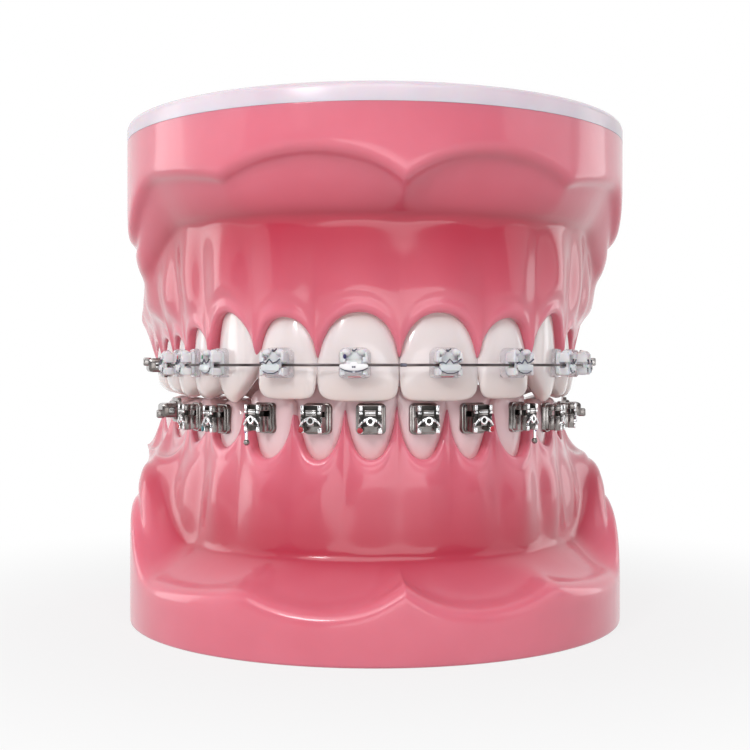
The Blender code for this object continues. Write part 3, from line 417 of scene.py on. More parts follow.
def cast_gum(jaw_name):
    """One base: its right half mirrored, with the flat back closed and kept sharp."""
    jaw = JAWS[jaw_name]
    bm = lay_grid(gum_sections(jaw))
    bmesh.ops.mirror(bm, geom=bm.verts[:] + bm.edges[:] + bm.faces[:], axis="X", merge_dist=0.01)
    crease = bm.edges.layers.float.new("crease_edge")
    open_back = [edge for edge in bm.edges if edge.is_boundary]
    bmesh.ops.holes_fill(bm, edges=open_back, sides=0)
    for edge in open_back:
        edge[crease] = 1.0
        edge.smooth = False
    wide_faces = [face for face in bm.faces if len(face.verts) > 4]
    bmesh.ops.triangulate(bm, faces=wide_faces)
    bmesh.ops.recalc_face_normals(bm, faces=bm.faces)
    name = jaw_name + "_gum_base"
    finish_piece(bm, name, jaw_name + "_jaw", [gum_finish], [jaw_name + "_gum"], rounds=2)


cast_gum("upper")
cast_gum("lower")

# Cover plate
# A plate of pale, slightly frosted resin lies on the upper base and follows its outline. Its upper
# edge is rounded and it is glued on with a thin seam.
PLATE_ROUND = 0.8
PLATE_STEPS = 96
plate_resin = new_finish(
    "plate_resin", (0.76, 0.66, 0.73), 0.22, Subsurface_Weight=0.3, Subsurface_Scale=0.002,
    IOR=1.49,
)
cloud_colour(plate_resin, (0.74, 0.63, 0.7), (0.79, 0.69, 0.76), 120.0)
fine_bumps(plate_resin, 900.0, 0.04)
bm = bmesh.new()
outline = [(UPPER_RADIUS, BACK), (-UPPER_RADIUS, BACK)]
for step in range(PLATE_STEPS + 1):
    turn = math.pi * (step / PLATE_STEPS - 0.5)
    outline.append((UPPER_RADIUS * math.sin(turn), -UPPER_RADIUS * math.cos(turn)))
under = bm.faces.new([bm.verts.new((across, back, PLATE_FOOT)) for across, back in outline])
grown = bmesh.ops.extrude_face_region(bm, geom=[under])["geom"]
top_verts = [item for item in grown if isinstance(item, bmesh.types.BMVert)]
top_face = [item for item in grown if isinstance(item, bmesh.types.BMFace)][0]
bmesh.ops.translate(bm, vec=(0.0, 0.0, HEIGHT - PLATE_FOOT), verts=top_verts)
bmesh.ops.bevel(bm, geom=list(top_face.edges), offset=PLATE_ROUND, segments=5, profile=0.5,
                affect="EDGES", material=-1)
bmesh.ops.recalc_face_normals(bm, faces=bm.faces)
finish_piece(bm, "pale_cover_plate", "upper_jaw", [plate_resin], ["upper_plate"],
             smooth_angle=40.0)

# Teeth
# Twenty-eight single teeth of glossy ivory resin, set in the gum with their roots. Each starts as a
# ball whose rings are drawn out along the crown; the first rings are the biting edge or the cusps.

# Rings: height as a share of the crown, width and depth as shares of the tooth's own, set-back of
# the outer face, and how much of the cusps shows
TOOTH_RINGS = {
    "incisor": (
        (0.0, 0.0, 0.0, 0.9, 0), (0.0, 0.55, 0.08, 0.66, 0), (0.01, 0.8, 0.13, 0.5, 0),
        (0.05, 0.92, 0.2, 0.33, 0), (0.16, 0.97, 0.29, 0.12, 0), (0.36, 1.0, 0.46, -0.05, 0),
        (0.6, 0.97, 0.72, -0.1, 0), (0.84, 0.87, 0.92, 0.1, 0), (1.0, 0.76, 0.96, 0.4, 0),
        (1.3, 0.64, 0.9, 0.7, 0), (1.6, 0.4, 0.6, 1.6, 0), (1.62, 0.0, 0.0, 3.4, 0),
    ),
    "canine": (
        (0.0, 0.0, 0.0, 1.1, 0), (0.0, 0.24, 0.12, 0.7, 1), (0.02, 0.56, 0.2, 0.45, 1),
        (0.08, 0.8, 0.28, 0.22, 1), (0.2, 0.93, 0.42, -0.02, 0.8), (0.4, 1.0, 0.62, -0.15, 0.25),
        (0.64, 0.98, 0.84, -0.14, 0), (0.86, 0.94, 0.98, -0.02, 0), (1.0, 0.88, 1.0, 0.15, 0),
        (1.3, 0.7, 0.92, 0.6, 0), (1.6, 0.4, 0.6, 1.8, 0), (1.62, 0.0, 0.0, 3.8, 0),
    ),
    "premolar": (
        (0.13, 0.0, 0.0, 4.1, 0), (0.1, 0.26, 0.22, 3.2, 0.2), (0.01, 0.5, 0.56, 1.7, 0.9),
        (0.02, 0.66, 0.72, 0.95, 1), (0.1, 0.84, 0.88, 0.35, 0.7), (0.25, 0.95, 0.97, 0.05, 0.2),
        (0.5, 1.0, 1.0, -0.12, 0), (0.8, 0.96, 0.98, 0.0, 0), (1.0, 0.9, 0.94, 0.15, 0),
        (1.3, 0.76, 0.84, 0.6, 0), (1.6, 0.45, 0.5, 2.2, 0), (1.62, 0.0, 0.0, 4.2, 0),
    ),
    "molar": (
        (0.13, 0.0, 0.0, 5.1, 0), (0.1, 0.26, 0.24, 3.9, 0.3), (0.01, 0.55, 0.54, 2.3, 1),
        (0.0, 0.74, 0.72, 1.3, 1), (0.08, 0.88, 0.88, 0.5, 0.7), (0.24, 0.96, 0.96, 0.1, 0.2),
        (0.5, 1.0, 1.0, -0.12, 0), (0.8, 0.97, 0.98, 0.0, 0), (1.0, 0.92, 0.94, 0.2, 0),
        (1.3, 0.84, 0.84, 0.7, 0), (1.6, 0.55, 0.55, 2.4, 0), (1.62, 0.0, 0.0, 5.0, 0),
    ),
}
CUSP_HEIGHT = {"incisor": 0.0, "premolar": 1.0, "molar": 0.8}
SIDES = ((-1, "left"), (1, "right"))
FRONT_FORMS = ("incisor", "canine")
WIDEST_PLACE = {"incisor": 0.45, "canine": 0.6, "premolar": 1.0, "molar": 1.0}
FRONT_SQUARENESS = 0.8
BACK_SQUARENESS = 0.68
TOOTH_SIDES = 16
TOOTH_OVERLAP = 0.2
TOOTH_SWELL = 1.03
MIDLINE_LAP = 0.06
TOOTH_NAMES = (
    "central", "lateral", "canine", "first_premolar", "second_premolar", "first_molar",
    "second_molar",
)


def contact_point(jaw, before):
    """Where a tooth touches the next one, inside the line of the outer faces."""
    inside = 0.0
    for item in (before, before + 1):
        form, _, _, depth, *_ = jaw["teeth"][min(max(item, 0), len(jaw["teeth"]) - 1)]
        inside += depth * WIDEST_PLACE[form] / 4
    return arch_point(jaw, jaw["starts"][before + 1], -inside)[0]


def tooth_frame(jaw, index):
    """Middle of a tooth's outer face, its heading, its width and the bend of the arch there."""
    middle = (jaw["starts"][index] + jaw["starts"][index + 1]) / 2
    place, _, bend = arch_point(jaw, middle)
    chord = contact_point(jaw, index) - contact_point(jaw, index - 1)
    return place, math.atan2(chord.y, chord.x), chord.length, bend


def cusp_drop(form, angle, across):
    """How far a point of the biting face lies below the cusp tips, as a share of their height."""
    if form == "canine":
        return abs(across - 0.22)
    if form == "premolar":
        return math.cos(angle) ** 2
    return 0.5 + 0.5 * math.cos(4.0 * angle)


def shape_tooth(jaw, index):
    """One tooth of the right half, in place."""
    form, _, crown, depth, edge, *_ = jaw["teeth"][index]
    place, heading, width, bend = tooth_frame(jaw, index)
    width = (width + TOOTH_OVERLAP) * TOOTH_SWELL
    taper = min(0.45, depth * bend * 0.9 + 0.08)
    rings = TOOTH_RINGS[form]
    cusp_height = CUSP_HEIGHT.get(form, jaw["canine_cusp"])
    levels = len(rings) - 1
    turn = Matrix.Rotation(heading, 3, "Z")
    square = FRONT_SQUARENESS if form in FRONT_FORMS else BACK_SQUARENESS
    bm = bmesh.new()
    bmesh.ops.create_uvsphere(bm, u_segments=TOOTH_SIDES, v_segments=levels, radius=1.0)
    for vert in bm.verts:
        level = round(math.acos(max(-1.0, min(1.0, vert.co.z))) / math.pi * levels)
        share, wide, deep, back, cusps = rings[level]
        if form in FRONT_FORMS and wide:
            wide += jaw["neck"] * ease(0.25, 0.95, share)
            wide += jaw["brim"] * (1.0 - ease(0.05, 0.4, share))
        angle = math.atan2(vert.co.y, vert.co.x)
        aside = math.copysign(abs(math.cos(angle)) ** square, math.cos(angle))
        front = math.copysign(abs(math.sin(angle)) ** square, math.sin(angle))
        if level in (0, levels):
            aside = front = 0.0
        across = aside * wide * width / 2 * (1.0 + taper * front / 2)
        inward = back + (1.0 - front) * deep * depth * TOOTH_SWELL / 2
        drop = cusp_height * cusps * cusp_drop(form, angle, across / (width / 2))
        if form == "incisor" and level < 4:
            corner = jaw["corner"] * (1.0 + (across > 0.0))
            drop += corner * abs(across / (width / 2)) ** 5
        rise = share * crown + drop
        spot = turn @ Vector((across, inward, 0.0))
        vert.co = (place.x + spot.x, place.y + spot.y, BITE + edge + jaw["way"] * rise)
    if index == 0:
        for vert in bm.verts:
            vert.co.x = max(vert.co.x, -MIDLINE_LAP / 2)
    bmesh.ops.recalc_face_normals(bm, faces=bm.faces)
    return bm


def remap(tree, value, low, high, bottom=0.0, top=1.0, soft=False):
    """A value that rises from bottom to top while the one given rises from low to high."""
    node = tree.nodes.new("ShaderNodeMapRange")
    node.interpolation_type = "SMOOTHSTEP" if soft else "LINEAR"
    for socket, amount in (("From Min", low), ("From Max", high), ("To Min", bottom), ("To Max", top)):
        node.inputs[socket].default_value = amount
    tree.links.new(value, node.inputs["Value"])
    return node.outputs["Result"]


def ivory(name, neck, body, tip, neck_height, tip_height):
    """Ivory resin, warmer at the neck and a little clearer at the biting edge."""
    made = new_finish(
        name, body, 0.2, Subsurface_Weight=0.3, Subsurface_Scale=0.002,
        Subsurface_Radius=(1.0, 0.75, 0.6), IOR=1.5, Coat_Weight=0.7, Coat_Roughness=0.04,
    )
    nodes, links = made.node_tree.nodes, made.node_tree.links
    place = nodes.new("ShaderNodeTexCoord")
    split = nodes.new("ShaderNodeSeparateXYZ")
    links.new(place.outputs["Object"], split.inputs["Vector"])
    height = remap(made.node_tree, split.outputs["Z"], tip_height * MM, neck_height * MM)
    ramp = nodes.new("ShaderNodeValToRGB")
    ramp.color_ramp.elements[0].color = (*tip, 1.0)
    ramp.color_ramp.elements[1].color = (*neck, 1.0)
    ramp.color_ramp.elements.new(0.35).color = (*body, 1.0)
    ramp.color_ramp.elements.new(0.75).color = (*body, 1.0)
    links.new(height, ramp.inputs["Fac"])
    links.new(ramp.outputs["Color"], nodes["Principled BSDF"].inputs["Base Color"])
    fine_bumps(made, 350.0, 0.12, strength=0.25, detail=2.0)
    return made


upper_ivory = ivory(
    "upper_ivory", (0.8, 0.64, 0.6), (0.84, 0.75, 0.74), (0.85, 0.71, 0.66), 36.5, 26.3,
)
# The lower teeth get a pinker copy of the ivory: painted pink light bounced from the gums
lower_ivory_pink_bounce = ivory(
    "lower_ivory_pink_bounce", (0.88, 0.5, 0.51), (0.9, 0.61, 0.63), (0.88, 0.64, 0.65), 20.0, 28.4,
)


def flip(bm):
    """Mirrors a shape to the left half, with its faces outwards."""
    bmesh.ops.scale(bm, vec=(-1.0, 1.0, 1.0), verts=bm.verts)
    bmesh.ops.reverse_faces(bm, faces=bm.faces)


def set_teeth(jaw_name, finish):
    """Both sides of one jaw, seven teeth each."""
    jaw = JAWS[jaw_name]
    for side, side_name in SIDES:
        for index, tooth_name in enumerate(TOOTH_NAMES):
            bm = shape_tooth(jaw, index)
            if side < 0:
                flip(bm)
            name = f"{jaw_name}_{side_name}_{tooth_name}_tooth"
            finish_piece(bm, name, jaw_name + "_jaw", [finish], [f"{jaw_name}_{side_name}_teeth"],
                         rounds=2)


set_teeth("upper", upper_ivory)
set_teeth("lower", lower_ivory_pink_bounce)

# Clear brackets
# Ten brackets of glassy ceramic are bonded to the upper teeth: a rounded pad, a waist and four tie
# wings with a slot between them. A door slides in front of the slot, behind two lips. It shows a
# milky bowed bar or a low bar with a wire clip, and some brackets carry a dot of marking paint.

BRACKETED_TEETH = TOOTH_NAMES[:5]
# Height of the slots, how far each bracket stands beyond its tooth's middle, half the slot's height,
# the depths of the doors' tongues, the outline of the pad, and half the width of the tongues
UPPER_SLOT_HEIGHT = 30.3
UPPER_SHIFTS = (0.3, 0.4, 1.2, -0.5, 0.0)
SLOT = 0.28
TONGUE_BACK = 1.54
TONGUE_FRONT = 1.8
CLEAR_HALF_PAD = 1.66
CLEAR_TOP = 1.82
CLEAR_BOTTOM = -1.36
CLEAR_TONGUE = 1.04


def paint_new(bm, before, paint):
    """Gives the faces added since before one of the piece's finishes."""
    for face in bm.faces:
        if face not in before:
            face.material_index = paint


def edges_of(verts):
    """All edges that meet the vertices."""
    return list({edge for vert in verts for edge in vert.link_edges})


def add_block(bm, low, high, bevel=0.0, segments=2, paint=0):
    """A block with rounded edges."""
    before = set(bm.faces)
    low, high = Vector(low), Vector(high)
    matrix = Matrix.Translation((low + high) / 2) @ Matrix.Diagonal((*(high - low), 1.0))
    block = bmesh.ops.create_cube(bm, size=1.0, matrix=matrix)
    if bevel:
        bmesh.ops.bevel(bm, geom=edges_of(block["verts"]), offset=bevel, offset_type="OFFSET",
                        segments=segments, profile=0.5, affect="EDGES", material=-1)
    paint_new(bm, before, paint)


def add_side_block(bm, side, across, depths, heights, bevel, segments=2, paint=0):
    """A block on one side, from its nearest and farthest distance across, and its depths and heights."""
    near, far = sorted((side * across[0], side * across[1]))
    low = (near, -depths[1], heights[0])
    add_block(bm, low, (far, -depths[0], heights[1]), bevel, segments, paint)


def add_plate(bm, outline, back, front, bevel=0.0, segments=2, paint=0):
    """An outline seen from the front, as a plate between two depths, with a rounded front edge."""
    before = set(bm.faces)
    rear = bm.faces.new([bm.verts.new((across, -back, up)) for across, up in outline])
    grown = bmesh.ops.extrude_face_region(bm, geom=[rear])["geom"]
    front_verts = [item for item in grown if isinstance(item, bmesh.types.BMVert)]
    front_faces = [item for item in grown if isinstance(item, bmesh.types.BMFace)]
    bmesh.ops.translate(bm, vec=(0.0, back - front, 0.0), verts=front_verts)
    if bevel:
        rim = [edge for face in front_faces for edge in face.edges]
        bmesh.ops.bevel(bm, geom=rim, offset=bevel, offset_type="OFFSET", segments=segments,
                        profile=0.5, affect="EDGES", material=-1)
    paint_new(bm, before, paint)


def rounded_outline(half_width, bottom, top, low_corner, high_corner, steps=4):
    """A rectangle with round corners, as points across and up."""
    points = []
    for side, level, corner, start in (
        (1, bottom, low_corner, -90.0), (1, top, high_corner, 0.0),
        (-1, top, high_corner, 90.0), (-1, bottom, low_corner, 180.0),
    ):
        centre_up = level + corner if level == bottom else level - corner
        for step in range(steps + 1):
            turn = math.radians(start + 90.0 * step / steps)
            points.append((side * (half_width - corner) + corner * math.cos(turn),
                           centre_up + corner * math.sin(turn)))
    return points


def stand_on_tooth(bm, jaw_name, index, shift, height, side):
    """Moves a fitting from the middle of its slot to its tooth."""
    place, heading, _, _ = tooth_frame(JAWS[jaw_name], index)
    place = place + Vector((math.cos(heading), math.sin(heading))) * shift
    matrix = Matrix.Translation((side * place.x, place.y, height))
    matrix = matrix @ Matrix.Rotation(side * heading, 4, "Z")
    bmesh.ops.transform(bm, matrix=matrix, verts=bm.verts)
    bmesh.ops.recalc_face_normals(bm, faces=bm.faces)


def bend_to_tooth(bm, bend):
    """Curves a pad round the tooth below it."""
    for vert in bm.verts:
        fade = max(0.0, 1.0 + vert.co.y / 0.7)
        vert.co.y += bend * vert.co.x ** 2 * fade


def join_rings(bm, rings, closed=False):
    """Walls between each ring of edges and the next."""
    for first, second in zip(rings, rings[1:] + rings[:1] if closed else rings[1:]):
        bmesh.ops.bridge_loops(bm, edges=first + second)


def add_rod(bm, path, radius, sides=10, paint=0):
    """A round rod along a path."""
    before = set(bm.faces)
    rings = []
    for number, spot in enumerate(path):
        way = path[min(number + 1, len(path) - 1)] - path[max(number - 1, 0)]
        turn = way.to_track_quat("Z", "Y").to_matrix().to_4x4()
        at_end = number in (0, len(path) - 1)
        ring = bmesh.ops.create_circle(bm, cap_ends=at_end, segments=sides, radius=radius,
                                       matrix=Matrix.Translation(spot) @ turn)["verts"]
        rings.append(edges_of(ring))
    join_rings(bm, rings)
    paint_new(bm, before, paint)


ceramic = new_finish(
    "clear_ceramic", (0.95, 0.93, 0.96), 0.12, Transmission_Weight=0.25, IOR=1.4,
    Subsurface_Weight=0.2, Subsurface_Scale=0.0008,
)
cloud_colour(ceramic, (0.9, 0.88, 0.91), (1.0, 0.98, 1.0), 600.0)
fine_bumps(ceramic, 900.0, 0.03)
pad_ceramic = new_finish("pad_ceramic", (0.97, 0.96, 0.98), 0.12, Transmission_Weight=0.75, IOR=1.22)
cloud_colour(pad_ceramic, (0.95, 0.94, 0.97), (0.99, 0.98, 1.0), 500.0)
fine_bumps(pad_ceramic, 900.0, 0.03)
# Dark see-through sheets for the creases where the top wings meet the middle: painted shade
wing_crease_shade = new_finish("wing_crease_painted_shade", (0.45, 0.43, 0.5), 0.15, Transmission_Weight=0.4)
cloud_colour(wing_crease_shade, (0.36, 0.34, 0.42), (0.55, 0.53, 0.6), 900.0)
fine_bumps(wing_crease_shade, 1200.0, 0.03)
milky = new_finish("milky_ceramic", (0.96, 0.95, 0.96), 0.12, IOR=1.5)
cloud_colour(milky, (0.93, 0.92, 0.94), (0.98, 0.97, 0.98), 700.0)
fine_bumps(milky, 900.0, 0.03)
spring_steel = new_finish("spring_steel", (0.1, 0.1, 0.13), 0.35, Metallic=0.7)
cloud_colour(spring_steel, (0.06, 0.06, 0.08), (0.14, 0.14, 0.18), 900.0)
fine_bumps(spring_steel, 1500.0, 0.02)


def dot_paint(name, colour):
    """Enamel of one colour, a little uneven."""
    made = new_finish(name, colour, 0.35)
    darker = tuple(0.7 * part for part in colour)
    cloud_colour(made, darker, colour, 1500.0)
    fine_bumps(made, 1200.0, 0.05)
    return made


DOT_PAINTS = {
    "navy": dot_paint("navy_paint", (0.02, 0.015, 0.12)),
    "red": dot_paint("red_paint", (0.55, 0.02, 0.04)),
    "rose": dot_paint("rose_paint", (0.75, 0.12, 0.14)),
    "green": dot_paint("green_paint", (0.02, 0.25, 0.12)),
    "teal": dot_paint("teal_paint", (0.02, 0.17, 0.2)),
    "blue": dot_paint("blue_paint", (0.1, 0.08, 0.42)),
}


def add_dot(bm, across, up, front, radius, paint, tall=1.0):
    """A drop of paint, thicker in its middle."""
    before = set(bm.faces)
    matrix = Matrix.Translation((across, -front, up)) @ Matrix.Diagonal((1.0, 0.35, tall, 1.0))
    bmesh.ops.create_icosphere(bm, subdivisions=2, radius=radius, matrix=matrix)
    paint_new(bm, before, paint)


def clear_bracket(front_tooth, dot):
    """The fixed part, with its back at y = 0 and the slot's middle at z = 0."""
    bm = bmesh.new()
    pad = rounded_outline(CLEAR_HALF_PAD, CLEAR_BOTTOM, CLEAR_TOP, 0.45, 0.8, 5)
    add_plate(bm, pad, 0.04, 0.5, 0.14, 3, paint=5)
    step = rounded_outline(1.3, CLEAR_BOTTOM + 0.3, CLEAR_TOP - 0.3, 0.35, 0.6, 4)
    add_plate(bm, step, 0.45, 0.92, 0.16, 2)
    for side in (-1, 1):
        add_side_block(bm, side, (1.1, 1.42), (0.8, 1.98), (SLOT, 1.35), 0.13, 3)
        add_side_block(bm, side, (1.1, 1.42), (0.8, 1.9), (-1.12, -SLOT), 0.12, 3)
        add_side_block(bm, side, (0.88, 1.2), (1.85, 2.0), (SLOT, 0.8), 0.05)
        add_side_block(bm, side, (0.88, 1.2), (1.85, 2.0), (-1.0, -SLOT), 0.05)
        knob = Matrix.Translation((side * 0.78, -1.45, 1.32))
        knob = knob @ Matrix.Diagonal((1.05, 1.0, 0.8, 1.0))
        bmesh.ops.create_uvsphere(bm, u_segments=16, v_segments=10, radius=0.46, matrix=knob)
    add_block(bm, (-0.8, -1.3, SLOT), (0.8, -0.8, 1.4), 0.15, 3)
    add_block(bm, (-0.9, -1.3, -1.1), (0.9, -0.8, -SLOT), 0.12, 3)
    tick = [(-0.27, 1.5), (-0.2, 1.42), (0.0, 1.36), (0.28, 1.6), (0.3, 1.74), (0.06, 1.56),
            (-0.04, 1.52), (-0.16, 1.64)]
    add_plate(bm, tick, 1.2, 1.42, 0.03, 1, paint=1)
    for side in (-1, 1):
        # A dark sheet in the crease inside each top wing: painted shade
        crease_shade = [(side * 0.34, 1.32), (side * 0.4, 1.22), (side * 0.62, 1.28), (side * 0.58, 1.44)]
        add_plate(bm, crease_shade if side > 0 else crease_shade[::-1], 1.25, 1.36, paint=3)
    if front_tooth:
        add_plate(bm, rounded_outline(0.68, -1.26, -1.18, 0.035, 0.035, 2), 0.9, 0.97, paint=4)
    if dot:
        add_dot(bm, -0.92, 0.86, 1.98, 0.18, 2, 1.45)
    bend_to_tooth(bm, 0.05)
    return bm


def clear_door(barred):
    """The sliding part: a tongue behind the lips, and in front of them a milky bowed bar or a low bar
    with a bent wire clip."""
    bm = bmesh.new()
    add_block(bm, (-CLEAR_TONGUE, -TONGUE_FRONT, -0.86), (CLEAR_TONGUE, -TONGUE_BACK, 0.46), 0.05, 2)
    add_block(bm, (-0.8, -2.1, -0.84), (0.8, -TONGUE_FRONT + 0.05, 0.4), 0.06, 2)
    if not barred:
        add_plate(bm, rounded_outline(1.1, -0.62, 0.06, 0.3, 0.2), 2.03, 2.24, 0.09, 3)
        bends = ((-1.2, 0.2), (-0.85, 0.3), (-0.5, 0.16), (-0.1, 0.6), (0.3, 0.2), (0.75, 0.32),
                 (1.15, 0.62))
        add_rod(bm, [Vector((across, -2.16, up)) for across, up in bends], 0.085, 8, paint=2)
        sag = ((-1.15, -0.3), (-0.75, -0.72), (-0.3, -0.86), (0.3, -0.86), (0.75, -0.72), (1.15, -0.3))
        add_rod(bm, [Vector((across, -2.08, up)) for across, up in sag], 0.06, 8, paint=2)
        return bm
    bar_ends = [(-1.46, -0.2), (-1.36, -0.3), (-0.95, -0.47), (-0.5, -0.56), (0.0, -0.6),
                (0.5, -0.56), (0.95, -0.47), (1.36, -0.3), (1.46, -0.2), (1.46, 0.02),
                (1.3, 0.1), (0.42, 0.12), (0.28, 0.3), (-0.28, 0.3), (-0.42, 0.12),
                (-1.3, 0.1), (-1.46, 0.02)]
    add_plate(bm, bar_ends, 2.03, 2.28, 0.09, 3, paint=1)
    for side in (-1, 1):
        smile = [(0.12, -0.78), (0.5, -0.74), (0.95, -0.6), (1.4, -0.36), (1.42, -0.28),
                 (0.95, -0.44), (0.5, -0.54), (0.12, -0.58)]
        strip = [(side * across, up) for across, up in smile]
        add_plate(bm, strip if side > 0 else strip[::-1], 2.03, 2.16, 0.03, 1, paint=2)
    for side in (-1, 1):
        add_block(bm, (side * 0.1 - 0.09, -2.31, -0.3), (side * 0.1 + 0.09, -2.2, -0.1), 0.03, 1,
                  paint=2)
    return bm


CLEAR_DOTS = {("left", 0): "navy", ("left", 2): "green", ("left", 3): "rose"}
BARRED_DOOR = "upper_left_central"

for side, side_name in SIDES:
    for index, tooth_name in enumerate(BRACKETED_TEETH):
        place = f"upper_{side_name}_{tooth_name}"
        dot = CLEAR_DOTS.get((side_name, index))
        paints = [ceramic, spring_steel, DOT_PAINTS[dot or "navy"], wing_crease_shade, DOT_PAINTS["rose"],
                  pad_ceramic]
        body = clear_bracket(index == 0, dot)
        stand_on_tooth(body, "upper", index, UPPER_SHIFTS[index], UPPER_SLOT_HEIGHT, side)
        finish_piece(body, place + "_clear_bracket", "upper_jaw", paints, [place + "_bracket"],
                     smooth_angle=40.0)
        door = clear_door(place == BARRED_DOOR)
        stand_on_tooth(door, "upper", index, UPPER_SHIFTS[index], UPPER_SLOT_HEIGHT, side)
        finish_piece(door, place + "_clear_door", place + "_slide", [ceramic, milky, spring_steel],
                     [place + "_slide"], smooth_angle=40.0)

# Steel brackets
# Ten investment-cast steel brackets are bonded to the lower teeth: a stepped pad, two posts above
# the slot and two wings below it. The door between them has a curved brow and a hole for the
# opening tool. The canine brackets carry a pin with a ball for an elastic band.

# Height of the slot of each tooth, the outline of the pad, half the width of the doors' tongues, and
# the brow: its rise, how much it drops to the sides, and its thickness
LOWER_SLOT_HEIGHTS = (25.13, 25.13, 25.13, 24.83, 24.83)
STEEL_HALF_PAD = 1.58
STEEL_TOP = 1.15
STEEL_BOTTOM = -2.15
STEEL_TONGUE = 0.94
BROW_RISE = -0.24
BROW_DROP = 0.5
BROW_THICK = 0.46
BROW_STEPS = 6

cast_steel = new_finish("cast_steel", (0.27, 0.24, 0.23), 0.22, Metallic=1.0)
cloud_colour(cast_steel, (0.17, 0.15, 0.14), (0.38, 0.36, 0.35), 500.0)
fine_bumps(cast_steel, 900.0, 0.08)
polished_steel = new_finish("polished_steel", (0.8, 0.8, 0.8), 0.12, Metallic=1.0)
cloud_colour(polished_steel, (0.68, 0.68, 0.69), (0.88, 0.88, 0.88), 500.0)
fine_bumps(polished_steel, 900.0, 0.03)
# Near-black steel for the back of the slot, the lips beside the door, the door's tongue and the floor of
# its hole: painted shade of those recesses
recess_painted_shade = new_finish("recess_painted_shade", (0.03, 0.026, 0.025), 0.5, Metallic=0.4)
cloud_colour(recess_painted_shade, (0.012, 0.01, 0.01), (0.05, 0.045, 0.04), 700.0)
fine_bumps(recess_painted_shade, 900.0, 0.05)


def add_brows(bm, inner, outer, back, front):
    """Both parts of the curved brow over the door's hole that lie between two distances across."""
    for near, far in ((-outer, -inner), (inner, outer)):
        upper, lower = [], []
        for step in range(BROW_STEPS + 1):
            across = near + (far - near) * step / BROW_STEPS
            level = BROW_RISE - BROW_DROP * abs(across) ** 2.2
            upper.append((across, level))
            lower.append((across, level - BROW_THICK * (1.0 - 0.25 * abs(across))))
        add_plate(bm, lower + upper[::-1], back, front, 0.12, 3, paint=1)


def steel_bracket(hook_side=0, dot_side=0):
    """The fixed part, with its back at y = 0 and the slot's middle at z = 0."""
    bm = bmesh.new()
    add_plate(bm, rounded_outline(STEEL_HALF_PAD, STEEL_BOTTOM, STEEL_TOP, 0.55, 0.5), 0.04, 0.4,
              0.1, 2)
    add_plate(bm, rounded_outline(1.4, STEEL_BOTTOM + 0.16, STEEL_TOP - 0.14, 0.45, 0.42), 0.35,
              0.62, 0.1, 2)
    add_block(bm, (-1.22, -1.3, SLOT), (1.22, -0.5, 0.98), 0.1, 2)
    add_block(bm, (-1.22, -1.3, -1.9), (1.22, -0.5, -SLOT), 0.1, 2)
    # The back of the slot, painted near black as shade
    add_block(bm, (-0.98, -1.45, -1.0), (0.98, -1.2, 0.9), 0.03, 1, paint=2)
    for side in (-1, 1):
        add_side_block(bm, side, (1.0, 1.24), (1.2, 1.9), (SLOT, 0.98), 0.06)
        add_side_block(bm, side, (1.0, 1.24), (1.2, 1.9), (-1.95, -SLOT), 0.06)
        add_side_block(bm, side, (0.77, 1.16), (1.84, 2.14), (0.34, 1.0), 0.13, 4, paint=1)
        add_side_block(bm, side, (0.77, 1.16), (1.84, 2.12), (0.02, 0.3), 0.07, paint=1)
        # The lips beside the door, painted near black as shade
        add_side_block(bm, side, (0.77, 1.16), (1.84, 2.0), (-0.3, -0.02), 0.05, paint=2)
        add_side_block(bm, side, (0.77, 1.16), (1.84, 1.98), (-1.1, -0.4), 0.05, paint=2)
        add_side_block(bm, side, (0.78, 1.24), (1.85, 2.12), (-1.98, -1.38), 0.12, 3, paint=1)
    add_brows(bm, 0.78, 1.22, 1.9, 2.22)
    if hook_side:
        across, out = hook_side * 1.3, -1.65
        path = [Vector((across, out, -1.2)), Vector((across, out, -1.7)),
                Vector((across, out, -2.4)), Vector((across, out, -3.0))]
        add_rod(bm, path, 0.17, 12, paint=1)
        bmesh.ops.create_uvsphere(bm, u_segments=16, v_segments=10, radius=0.34,
                                  matrix=Matrix.Translation((across, out, -3.15)))
        add_dot(bm, across, -1.75, -out + 0.14, 0.26, 3, 1.6)
    elif dot_side:
        add_dot(bm, dot_side * 1.07, -1.62, 2.17, 0.31, 3)
    bend_to_tooth(bm, 0.06)
    return bm


# The boss round the hole of the door: radius and how far out, along its profile
BOSS_PROFILE = ((0.47, -0.1), (0.47, 0.04), (0.43, 0.09), (0.3, 0.09), (0.26, 0.05), (0.26, -0.1))


def steel_door():
    """The sliding part: a tongue behind the lips, and a face with bar, brow, boss and hole."""
    bm = bmesh.new()
    # The tongue behind the lips, painted near black as shade
    add_block(bm, (-STEEL_TONGUE, -TONGUE_FRONT, -1.25), (STEEL_TONGUE, -TONGUE_BACK, 0.46), 0.04, 1,
              paint=2)
    add_block(bm, (-0.7, -1.98, -1.26), (0.7, -TONGUE_FRONT + 0.05, 0.46), 0.05, 2, paint=2)
    add_block(bm, (-0.58, -2.06, 0.3), (0.58, -1.94, 0.46), 0.04, 2)
    add_block(bm, (-0.56, -2.12, 0.1), (0.56, -1.94, 0.29), 0.07, 3, paint=1)
    add_block(bm, (-0.56, -2.04, -0.14), (0.56, -1.94, 0.08), 0.03, 2)
    add_brows(bm, 0.32, 0.74, 1.94, 2.2)
    add_block(bm, (-0.36, -2.1, -1.24), (0.36, -1.94, -0.98), 0.04, 2)
    before = set(bm.faces)
    boss = Matrix.Translation((0.0, -2.13, -0.66)) @ Matrix.Rotation(math.pi / 2, 4, "X")
    rings = []
    for radius, out in BOSS_PROFILE:
        place = boss @ Matrix.Translation((0.0, 0.0, out))
        ring = bmesh.ops.create_circle(bm, segments=20, radius=radius, matrix=place)["verts"]
        rings.append(edges_of(ring))
    join_rings(bm, rings, closed=True)
    paint_new(bm, before, 1)
    # The floor of the hole, painted near black as shade
    add_block(bm, (-0.26, -2.05, -0.88), (0.26, -1.96, -0.36), 0.02, 1, paint=2)
    return bm


